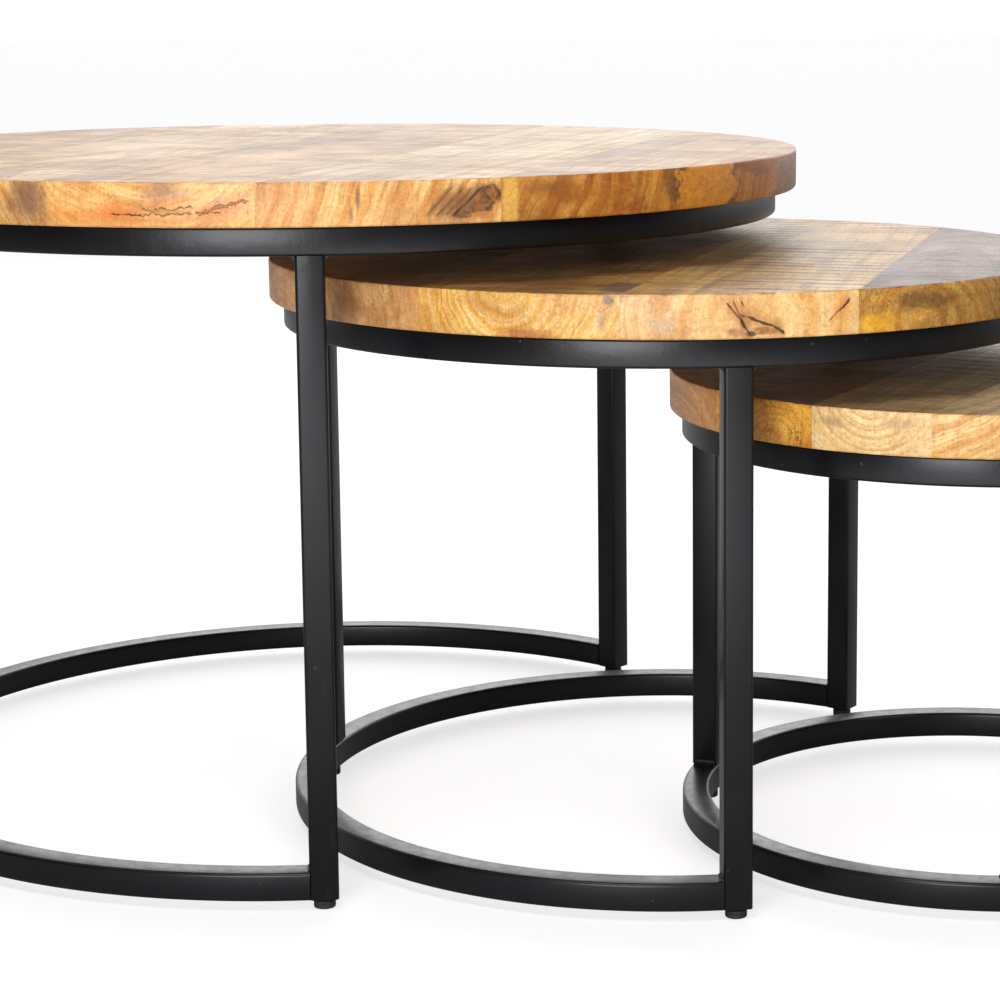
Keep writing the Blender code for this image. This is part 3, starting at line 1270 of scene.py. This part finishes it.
    def bead(self, name: str, points: list[Vector]) -> bpy.types.Object:
        """A row of small overlapping drops, as a weld is laid down.

        Args:
            name: Piece name.
            points: Where the drops lie.

        Returns:
            The bead.
        """
        drops = []
        for k, point in enumerate(points):
            Bench.clear()
            size = self.drop_radius * (0.9 + 0.2 * ((k * 7) % 5) / 5)
            bpy.ops.mesh.primitive_uv_sphere_add(segments=12, ring_count=8, radius=size, location=point)
            drop = Bench.settle(f"{name}_{k}")
            Bench.edit(drop)
            drops.append(Bench.close(drop, 60.0))
        return Bench.join(name, drops)

    def welds(self, name: str, mid: float, legs: dict[Place, float]) -> bpy.types.Object:
        """All the frame's welds, joined into one piece.

        Args:
            name: Piece name.
            mid: Radius of the tubes' middle.
            legs: Heading of each leg.

        Returns:
            The welds.
        """
        lay, parts = self.layout, []
        half = self.tube / 2
        for place, angle in legs.items():
            turn = Matrix.Rotation(angle, 3, "Z")
            for side in (1, -1):
                at = lay.polar(mid, angle, lay.ring_low + 0.0002) + turn @ Vector((0, side * half, 0))
                parts.append(self.gusset(f"{name}_{place.value}_{side}", at, angle, side, -1))
                if place is Place.BACK:
                    at = lay.polar(mid, angle, lay.base_top) + turn @ Vector((0, side * half, 0))
                    parts.append(self.gusset(f"{name}_foot_{side}", at, angle, side, 1))
            if place is not Place.BACK:
                side = 1 if place is Place.REAR else -1
                seam = lay.polar(mid, angle, lay.base_top - 0.0001)
                margin = 2 * self.drop_radius
                row = []
                for k in range(self.drops):
                    x = -half + margin + (self.tube - 2 * margin) * k / (self.drops - 1)
                    row.append(seam + turn @ Vector((x, side * half, 0)))
                parts.append(self.bead(f"{name}_{place.value}_bead", row))
        return Bench.join(name, parts)


@dataclass
class Glide:
    """A screw-in glide: moulded pad, plated collar and threaded stem."""

    layout: Layout
    place: Place
    rubber: Material
    plating: Material
    radius: float = 0.0068
    height: float = 0.0050
    collar_height: float = 0.0012
    collar_radius: float = 0.0045
    stem_radius: float = 0.0027
    stem_top: float = 0.0195
    collar_edge: float = 0.0002
    crest: float = 1.10
    turns: int = 11

    def build(self) -> None:
        """Builds and dresses the pad, and the collar with its stem."""
        node = f"{self.layout.name.value}_foot_{self.place.value}"
        body = f"{self.layout.name.value}_glide_{self.place.value}"
        at = axis_of(node)
        pad = self.pad(f"{node}_pad", at)
        Bench.finish(pad, body, self.rubber, "glide_plastic", (node,))
        stud = self.stud(f"{node}_stud", at)
        Bench.finish(stud, body, self.plating, "screw_zinc")

    def pad(self, name: str, at: Vector) -> bpy.types.Object:
        """Moulds the pad: rounded foot, ribbed side, dished top.

        Args:
            name: Piece name.
            at: Its middle on the floor.

        Returns:
            The pad.
        """
        obj = Bench.cylinder(name, at + Vector((0, 0, self.height / 2)), self.radius, self.height, 36)
        Bench.edit(obj)
        Bench.bevel(obj, lambda e: rise(e) < LEVEL, 0.0008, 3)
        Bench.pick(obj, faces=is_end)
        bpy.ops.mesh.inset(thickness=0.0012)
        bpy.ops.mesh.inset(thickness=0.0004, depth=-0.0003)
        Bench.pick(obj, faces=lambda f: abs(f.normal.z) < 0.1 and len(f.verts) == 4)
        bpy.ops.mesh.inset(thickness=0.00025, depth=-0.00015, use_individual=True)
        return Bench.close(obj)

    def stud(self, name: str, at: Vector) -> bpy.types.Object:
        """Turns the collar and the stem with its thread.

        Args:
            name: Piece name.
            at: Its middle on the floor.

        Returns:
            The stud.
        """
        z = self.height + self.collar_height / 2
        obj = Bench.cylinder(name, at + Vector((0, 0, z)), self.collar_radius, self.collar_height, 18)
        Bench.edit(obj)
        Bench.bevel(obj, lambda e: rise(e) < LEVEL, self.collar_edge, 2)
        Bench.pick(obj, faces=is_end)
        bpy.ops.mesh.inset(thickness=self.collar_radius - self.collar_edge - self.stem_radius)
        stem = self.stem_top - self.height - self.collar_height
        Bench.thread(obj, at, self.turns, stem, self.crest)
        return Bench.close(obj, 20.0)


@dataclass
class Fixings:
    """The tabs that hold the top, and the wood screw in each."""

    layout: Layout
    coat: Material
    plating: Material
    head_radius: float = 0.0042
    head_height: float = 0.0024
    shank: float = 0.0018
    turns: int = 8
    crest: float = 1.12
    point: float = 0.25
    slot: Point = (0.0040, 0.0009, 0.0024)

    def build(self) -> None:
        """Dresses the tabs and replaces the screws."""
        name = self.layout.name.value
        for k in (1, 2, 3):
            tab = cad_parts[f"{name}_tab_{k}"]
            tab.data.materials.clear()
            tab.data.materials.append(self.coat)
            screw = self.screw(f"{name}_screw_{k}_turned", f"{name}_screw_{k}")
            Bench.finish(
                screw, self.layout.name.body, self.plating, "screw_zinc", (f"{name}_screw_{k}",)
            )

    def screw(self, name: str, node: str) -> bpy.types.Object:
        """Turns a pan-head screw with a cross recess, head down.

        Args:
            name: Piece name.
            node: The CAD screw that it stands for.

        Returns:
            The screw.
        """
        lo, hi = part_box(node)
        at = axis_of(node) + Vector((0, 0, lo.z + self.head_height / 2))
        obj = Bench.cylinder(name, at, self.head_radius, self.head_height, 24)
        Bench.edit(obj)
        Bench.bevel(obj, lambda e: all(v.co.z < lo.z + LEVEL for v in e.verts), 0.0011, 4)
        Bench.pick(obj, faces=is_end)
        bpy.ops.mesh.inset(thickness=self.head_radius - self.shank)
        Bench.thread(obj, at, self.turns, hi.z - lo.z - self.head_height, self.crest, self.point)
        Bench.close(obj, 25.0)
        for turn in (0.0, math.pi / 2):
            cutter = Bench.block(f"{name}_slot", Vector((at.x, at.y, lo.z)), self.slot, turn)
            mod = obj.modifiers.new("recess", "BOOLEAN")
            mod.operation, mod.object = "DIFFERENCE", cutter
            Bench.hold(obj)
            bpy.ops.object.modifier_apply(modifier=mod.name)
            bpy.data.objects.remove(cutter)
        return obj


@dataclass
class NestingTable:
    """One whole table."""

    name: TableName
    radius: float
    heading: float
    seams: tuple[float, ...]
    looks: tuple[BoardLook, ...]
    effects: Effects

    def build(self) -> None:
        """Builds the top, the frame, the glides and the fixings."""
        layout = Layout(self.name)
        coat = BlackCoat(self.effects).material(
            f"{self.name.value}_black_coat", layout.centre.x * 9, layout.ring_low
        )
        plating = SmallPartFinish(self.effects, "B8A878", "8E8770", 0.32, 1.0).material(
            f"{self.name.value}_plating"
        )
        rubber = SmallPartFinish(self.effects, "1B1B1C", "2B2A2B", 0.55, 0.0).material(
            f"{self.name.value}_glide_plastic"
        )
        wood = WoodFinish(self.effects)
        TableTop(layout, self.radius, self.heading, self.seams, self.looks, wood).build()
        WeldedFrame(layout, coat).build()
        for place in Place:
            Glide(layout, place, rubber, plating).build()
        Fixings(layout, coat, plating).build()
        LOG.info("%s table done", self.name.value)


@dataclass(frozen=True)
class Studio:
    """Pale floor, soft light and the camera.

    The focal length and the middle of the view are in parts of a picture 1000 wide.
    """

    floor_size: float = 60.0
    picture: float = 1000.0
    sensor: float = 36.0
    focal: float = 2644.6
    pitch: float = 0.1533
    roll: float = -0.0036
    spot: Point = (0.08183, -1.88269, 0.55970)
    middle: tuple[float, float] = (656.0, 399.4)
    sky: float = 0.01
    backdrop: float = 1.3
    ceiling: float = 0.30
    floor_glow: float = 0.66
    floor_bounce: float = 0.03
    pool: Point = (0.10, -1.55, 0.0)
    pool_radius: float = 1.3
    pool_glow: float = 2.6
    aim: Point = (0.05, -0.1, 0.3)
    lamps: tuple = (
        ("overhead", (-0.25, -1.15, 2.1), (0.75, 0.6), 18.0, (1.0, 0.97, 0.93)),
        ("window", (-0.62, -3.1, 0.66), (1.2, 1.1), 60.0, (0.94, 0.965, 1.0)),
        ("right_fill", (1.9, -2.1, 1.7), (0.9, 0.9), 20.0, (1.0, 0.98, 0.95)),
        ("backdrop_bounce", (0.3, 3.0, 1.6), (3.0, 1.6), 40.0, (1.0, 1.0, 1.0)),
    )

    def build(self) -> None:
        """Builds the whole stage."""
        self.camera()
        self.floor()
        self.light()

    def camera(self) -> None:
        """Stands the camera in front of the set, looking slightly down."""
        data = bpy.data.cameras.new("camera")
        data.sensor_width = self.sensor
        data.lens = self.focal * self.sensor / self.picture
        data.shift_x = 0.5 - self.middle[0] / self.picture
        data.shift_y = self.middle[1] / self.picture - 0.5
        data.clip_start, data.clip_end = 0.05, 200.0
        ahead = Vector((0, math.cos(self.pitch), -math.sin(self.pitch)))
        up = Vector((0, math.sin(self.pitch), math.cos(self.pitch)))
        right = Vector((1, 0, 0))
        right, up = (
            right * math.cos(self.roll) + up * math.sin(self.roll),
            up * math.cos(self.roll) - right * math.sin(self.roll),
        )
        camera = bpy.data.objects.new("camera", data)
        bpy.context.scene.collection.objects.link(camera)
        turn = Matrix((right, up, -ahead)).transposed().to_4x4()
        camera.matrix_world = Matrix.Translation(self.spot) @ turn
        bpy.context.scene.camera = camera

    def floor(self) -> None:
        """Lays the floor."""
        Bench.clear()
        bpy.ops.mesh.primitive_plane_add(size=self.floor_size, location=(0, 0, 0))
        floor = Bench.settle("studio_floor")
        material, g, shader = new_material("pale_floor")
        place = g.add("TexCoord").outputs["Object"]
        tone = g.mix(g.noise(place, 1.3, 2.0), srgb("A8A8AB"), srgb("AEAEB0"))
        g.set(shader.inputs["Base Color"], tone)
        shader.inputs["Roughness"].default_value = 0.7
        shader.inputs["Specular IOR Level"].default_value = 0.2
        shader.inputs["Emission Color"].default_value = (1.0, 1.0, 1.0, 1.0)
        seen = g.add("LightPath").outputs["Is Camera Ray"]
        reach = g.vector("LENGTH", g.vector("SUBTRACT", place, self.pool))
        bounce = g.scale_add(g.ramp(reach, self.pool_radius, 0.1), self.pool_glow, self.floor_bounce)
        glow = g.scale_add(seen, g.minus(self.floor_glow, bounce), bounce)
        g.set(shader.inputs["Emission Strength"], glow)
        floor.data.materials.append(material)

    def light(self) -> None:
        """Hangs soft lights round the set, in front of a white backdrop."""
        world = bpy.data.worlds.new("studio_sky")
        bpy.context.scene.world = world
        world.use_nodes = True
        g = Graph(world.node_tree)
        sky = world.node_tree.nodes["Background"]
        heading = g.add("SeparateXYZ", {0: g.add("TexCoord").outputs["Generated"]}).outputs
        wall = g.times(g.ramp(heading[1], 0.1, 0.66), self.backdrop)
        above = g.times(g.ramp(heading[2], 0.2, 0.9), self.ceiling)
        glow = g.plus(g.plus(wall, above), self.sky)
        seen = g.add("LightPath").outputs["Is Camera Ray"]
        glow = g.scale_add(seen, g.minus(1.05, glow), glow)
        sky.inputs["Color"].default_value = (1.0, 1.0, 1.0, 1.0)
        g.set(sky.inputs["Strength"], glow)
        for name, at, size, power, colour in self.lamps:
            data = bpy.data.lights.new(name, "AREA")
            data.shape, data.size, data.size_y = "RECTANGLE", size[0], size[1]
            data.energy, data.color = power, colour
            lamp = bpy.data.objects.new(name, data)
            bpy.context.scene.collection.objects.link(lamp)
            lamp.location = at
            aim = Vector(self.aim) - Vector(at)
            lamp.rotation_euler = aim.to_track_quat("-Z", "Y").to_euler()
            lamp.visible_camera = False
        bpy.context.scene.view_settings.view_transform = "Standard"


LARGE_LOOKS = (
    BoardLook(seed=1.3, pith=(-0.25, -0.05), brown_share=0.5, face_light="D6AE7C", face_mid="A07244"),
    BoardLook(
        seed=2.6, pith=(-0.11, -0.06), amber_share=0.35, brown_share=0.25, light="EFC57E",
        gold="E5AC58",
        face_light="E4C292", face_mid="B48652",
        stains=(
            Stain((-0.292, -0.313, 0.44), (0.018, 0.05, 0.019), "7A5646", 0.8, 1.1, 0.8),
        ),
    ),
    BoardLook(
        seed=3.2, pith=(0.02, 0.05), light="F4C67E", gold="EAAD5C", amber_share=0.35,
        brown_share=0.1,
        face_light="D6AC74", face_mid="9E7242",
        contrast=0.3, rays=0.35,
        stains=(
            Stain((-0.288, -0.313, 0.436), (0.016, 0.05, 0.022), "7A5646", 0.7, 1.1, 0.8),
            Stain((-0.262, -0.322, 0.43), (0.024, 0.05, 0.008), "E08A2E", 0.55, 0.9, 0.9),
            Stain((-0.236, -0.33, 0.431), (0.022, 0.05, 0.01), "E07A26", 0.8, 0.9, 0.9),
            Stain(
                (-0.206, -0.334, 0.444), (0.022, 0.05, 0.0085), "8A6A58", 0.8, 1.4, 0.9,
                "A68264",
            ),
            Stain((-0.176, -0.336, 0.431), (0.03, 0.05, 0.008), "EAA468", 0.7, 1.0, 0.9),
            Stain(
                (-0.204, -0.336, 0.4328), (0.015, 0.05, 0.0016), "B4803E", 0.8, 0.5, 0.6,
                "C8944E",
            ),
        ),
        cracks=(
            Crack((-0.229, -0.331, 0.4308), 0.01, 0.03, 0.0006, 0.002, halo_strength=0.4),
            Crack(
                (-0.2045, -0.336, 0.4326), 0.0165, 0.06, 0.0025, 0.0016,
                halo_strength=0.3, hollow=0.95,
            ),
            Crack(
                (-0.171, -0.336, 0.436), 0.0165, 0.22, 0.0012, 0.003,
                halo_strength=0.6, line="4A2E24", hollow=0.5,
            ),
            Crack(
                (-0.18, -0.336, 0.4322), 0.008, -0.12, 0.0005, 0.002,
                halo_strength=0.4, line="7A4A2A",
            ),
        ),
    ),
    BoardLook(
        seed=4.1, pith=(-0.055, 0.045), light="F4C880", gold="E2A252", amber_share=0.35,
        brown_share=0.15,
        face_light="E6C898", face_mid="BA9060",
        contrast=0.9, ring=0.008, wander=0.02,
        stains=(
            Stain((-0.093, -0.331, 0.44), (0.0022, 0.05, 0.01), "7A4A28", 0.8, 0.7, 0.8),
            Stain((-0.097, -0.331, 0.43), (0.002, 0.05, 0.007), "8A5A34", 0.65, 0.7, 0.8),
            Stain((-0.068, -0.327, 0.437), (0.02, 0.05, 0.02), "C98A48", 0.55, 0.9, 0.9),
            Stain((-0.038, -0.317, 0.434), (0.022, 0.05, 0.02), "9A6434", 0.75, 1.1, 0.8, "7E4C28"),
            Stain(
                (-0.0165, -0.305, 0.4405), (0.009, 0.022, 0.0085), "96602A", 0.95, 1.2, 0.4,
                "33241C",
            ),
            Stain(
                (-0.022, -0.307, 0.433), (0.0095, 0.022, 0.0065), "8E5826", 0.92, 1.2, 0.4,
                "3A291F",
            ),
            Stain(
                (-0.0325, -0.312, 0.4285), (0.0085, 0.022, 0.0035), "8A5A30", 0.9, 1.2, 0.5,
                "30221A",
            ),
            Stain((-0.0205, -0.305, 0.428), (0.009, 0.022, 0.003), "C0843E", 0.8, 1.1, 0.5),
        ),
        cracks=(
            Crack(
                (-0.046, -0.317, 0.437), 0.008, 1.06, 0.0005, 0.0016,
                halo="8A5A2E", halo_strength=0.9, line="7E5028",
            ),
            Crack(
                (-0.04, -0.314, 0.436), 0.0085, 1.02, 0.0006, 0.0014,
                halo="8A5A2E", halo_strength=0.9, line="6E4424",
            ),
            Crack(
                (-0.0345, -0.312, 0.4365), 0.008, 1.05, 0.0005, 0.0016,
                halo="8A5A2E", halo_strength=0.9, line="6A4020",
            ),
            Crack(
                (-0.029, -0.309, 0.437), 0.0085, 0.98, 0.001, 0.0018,
                halo="7E5026", halo_strength=0.9, line="3A281E",
            ),
        ),
    ),
    BoardLook(
        seed=5.7, pith=(0.05, 0.045), face_light="D0A672", face_mid="966A3E", light="D4963E",
        gold="B87026", amber="944E14", amber_share=0.75,
        brown_share=0.4, brown="6E4018", ring=0.007, contrast=0.8, rays=0.16, wander=0.02,
        stains=(
            Stain((0.02, -0.29, 0.442), (0.026, 0.04, 0.008), "7E4A1C", 0.7, 1.0, 0.8),
            Stain((-0.005, -0.299, 0.436), (0.0065, 0.02, 0.03), "E2B050", 0.8, 0.6, 0.5),
            Stain((0.03, -0.278, 0.437), (0.022, 0.04, 0.0085), "A8641E", 0.75, 1.0, 0.8, "8E5218"),
            Stain((0.096, -0.222, 0.44), (0.012, 0.03, 0.016), "6A4420", 0.85, 1.3, 0.4, "8A5E2E"),
            Stain(
                (0.118, -0.195, 0.436), (0.031, 0.046, 0.032), "6E4620", 0.85, 1.4, 0.2,
                "7E5224",
            ),
            Stain(
                (0.117, -0.196, 0.436), (0.0275, 0.041, 0.028), "E29A30", 0.95, 1.4, 0.14,
                "D2862A",
            ),
            Stain((0.2, -0.05, 0.436), (0.054, 0.098, 0.06), "AE8E72", 0.9, 0.5, 0.3, "9A7A5E"),
        ),
    ),
)

MEDIUM_LOOKS = (
    BoardLook(
        seed=7.4, pith=(-0.22, -0.03), light="F0C284", gold="DEA460", amber_share=0.5,
        brown_share=0.3,
        contrast=0.3, face_light="A47A48", face_mid="7C542C", face_dark="4E3218",
        stains=(
            Stain((-0.105, -0.27, 0.372), (0.014, 0.05, 0.013), "9E622C", 0.75, 1.0, 0.8),
            Stain((-0.062, -0.305, 0.365), (0.012, 0.05, 0.014), "D8A066", 0.6, 0.9, 0.9),
        ),
    ),
    BoardLook(
        seed=8.8, pith=(-0.035, 0.006), light="F6D084", gold="E8B44E", amber="CC8430",
        amber_share=0.45,
        brown_share=0.25, brown="A87234", contrast=0.8, ring=0.0042, curl=0.3, curl_colour="B07A2A",
        wander=0.03, arcs=0.5,
        face_light="C89A52", face_mid="9A6A28", face_dark="5C3A12", saw=0.4,
        stains=(
            Stain((0.005, -0.338, 0.36), (0.024, 0.05, 0.0055), "A85E1C", 0.8, 1.1, 0.7),
            Stain((0.0545, -0.338, 0.3815), (0.0055, 0.04, 0.006), "6A6052", 0.8, 1.1, 0.6),
            Stain((0.05, -0.35, 0.37), (0.0035, 0.03, 0.01), "9A8468", 0.6, 1.2, 0.8),
            Stain(
                (0.066, -0.315, 0.3855), (0.026, 0.036, 0.006), "3E3022", 0.8, 1.2, 0.5,
                "5E4A34", True,
            ),
        ),
    ),
    BoardLook(
        seed=9.5, pith=(0.103, -0.017), light="F0CA8A", gold="E6B066", amber_share=0.32,
        brown_share=0.12,
        contrast=0.35, rays=0.5, ring=0.008, arcs=0.22,
        face_light="D8AE66", face_mid="AA7C38", face_dark="5A3A18", saw=0.9, saw_colour="3A2410",
        stains=(
            Stain((0.058, -0.325, 0.384), (0.012, 0.045, 0.006), "5E5448", 0.8, 1.0, 0.6),
            Stain((0.085, -0.352, 0.367), (0.013, 0.05, 0.007), "B09A80", 0.7, 1.2, 0.8, "C8AE88"),
            Stain(
                (0.1465, -0.349, 0.3628), (0.0115, 0.03, 0.0032), "B88248", 0.88, 0.8, 0.5,
                "6E4A2A",
            ),
            Stain(
                (0.128, -0.35, 0.3622), (0.006, 0.03, 0.0034), "B4804A", 0.75, 0.9, 0.6,
                "8E643A",
            ),
            Stain((0.1375, -0.35, 0.3612), (0.0042, 0.03, 0.0022), "2A1C16", 0.9, 0.8, 0.5),
            Stain((0.205, -0.33, 0.374), (0.028, 0.05, 0.014), "DDA25C", 0.55, 1.0, 0.9),
        ),
        cracks=(
            Crack(
                (0.143, -0.348, 0.3684), 0.013, -0.36, 0.001, 0.0012,
                halo="B0702E", halo_strength=0.6,
            ),
            Crack(
                (0.154, -0.346, 0.3633), 0.0038, -0.72, 0.0011, 0.0006,
                halo="A0622C", halo_strength=0.5,
            ),
            Crack(
                (0.1275, -0.351, 0.3742), 0.0046, -1.2, 0.0009, 0.0008,
                halo="B0702E", halo_strength=0.5,
            ),
            Crack(
                (0.129, -0.35, 0.3765), 0.0021, -2.3, 0.001, 0.0006,
                halo="B0702E", halo_strength=0.4, line="5A3820",
            ),
            Crack(
                (0.1325, -0.35, 0.379), 0.0009, -1.6, 0.001, 0.0004,
                halo="A0622C", halo_strength=0.3, line="6A2A22",
            ),
            Crack(
                (0.1343, -0.35, 0.3652), 0.0034, -1.55, 0.0019, 0.001,
                halo="8A5428", halo_strength=0.6, line="2A1C18",
            ),
            Crack(
                (0.1935, -0.332, 0.376), 0.0034, 1.05, 0.0014, 0.0004,
                halo_strength=0.4, line="4E2018",
            ),
            Crack(
                (0.188, -0.334, 0.371), 0.004, 1.05, 0.0007, 0.0004,
                halo_strength=0.3, line="8A4A2A",
            ),
        ),
    ),
    BoardLook(
        seed=10.9, pith=(0.2, -0.012), light="F4C460", gold="DA9E3E", amber="B47828",
        amber_share=0.5,
        brown_share=0.5, brown="6E4622", contrast=0.9, curl=0.35, curl_colour="6A4420", arcs=0.7,
        face_light="96705A", face_mid="623E2C", face_dark="2A1812", face_dark_share=0.9, saw=0.2,
        ring=0.005, tilt=0.13,
        stains=(
            Stain(
                (0.213, -0.322, 0.364), (0.026, 0.03, 0.0085), "F0B42A", 0.75, 1.0, 0.7,
                "E2A024",
            ),
            Stain((0.243, -0.303, 0.376), (0.03, 0.03, 0.009), "7E5A30", 0.7, 1.3, 0.6, "55391E"),
        ),
    ),
)

SMALL_LOOKS = (
    BoardLook(
        seed=12.1, pith=(-0.17, -0.05), light="E8B274", gold="CC9454", brown_share=0.3,
        contrast=0.3,
        face_light="94704A", face_mid="6C4A2A", face_dark="422C18",
    ),
    BoardLook(
        seed=13.7, pith=(-0.07, -0.02), light="FFCC5A", gold="F2A83A", amber="CC7820",
        amber_share=0.6,
        brown_share=0.32, brown="6E3E14", ring=0.004, contrast=0.5, curl=0.85,
        curl_colour="4A2A10", arcs=0.6,
        face_light="94704A", face_mid="6C4A2A", face_dark="2E1C0E",
    ),
    BoardLook(
        seed=14.3, pith=(-0.004, 0.016), light="F5D89E", gold="EAC482", amber="D09A52",
        amber_share=0.2,
        brown_share=0.12, ring=0.006, wander=0.008, contrast=1.0,
        arcs=0.35, face_light="B8986A", face_mid="8C6E4A", face_dark="46321E",
        stains=(
            Stain(
                (0.188, -0.321, 0.3045), (0.012, 0.03, 0.0045), "A89070", 0.6, 1.3, 0.7,
                "8A7050",
            ),
            Stain((0.226, -0.34, 0.3065), (0.016, 0.03, 0.005), "B49A74", 0.5, 1.3, 0.7, "967A54"),
        ),
    ),
    BoardLook(
        seed=15.9, pith=(0.02, 0.06), light="F5D28E", gold="E0A850", amber="C88A36",
        amber_share=0.45,
        brown_share=0.15, ring=0.006, contrast=1.0, arcs=0.45,
        face_light="CDB080", face_mid="9A7C58", face_dark="4E3822",
    ),
    BoardLook(seed=16.2, pith=(0.18, -0.03), face_light="BEA478", face_mid="94795A", face_dark="5E4A34"),
)


def main() -> None:
    """Builds the three tables and the studio."""
    logging.basicConfig(level=logging.INFO, format="%(message)s")
    effects = Effects()
    tables = (
        NestingTable(
            TableName.LARGE, 0.346, 12.5, (-0.182, -0.047, 0.086, 0.217), LARGE_LOOKS, effects
        ),
        NestingTable(TableName.MEDIUM, 0.268, 12.6, (-0.097, 0.031, 0.164), MEDIUM_LOOKS, effects),
        NestingTable(
            TableName.SMALL, 0.2095, 25.0, (-0.119, -0.042, 0.0346, 0.112), SMALL_LOOKS, effects
        ),
    )
    for table in tables:
        table.build()
    Studio().build()


if __name__ == "__main__":
    main()
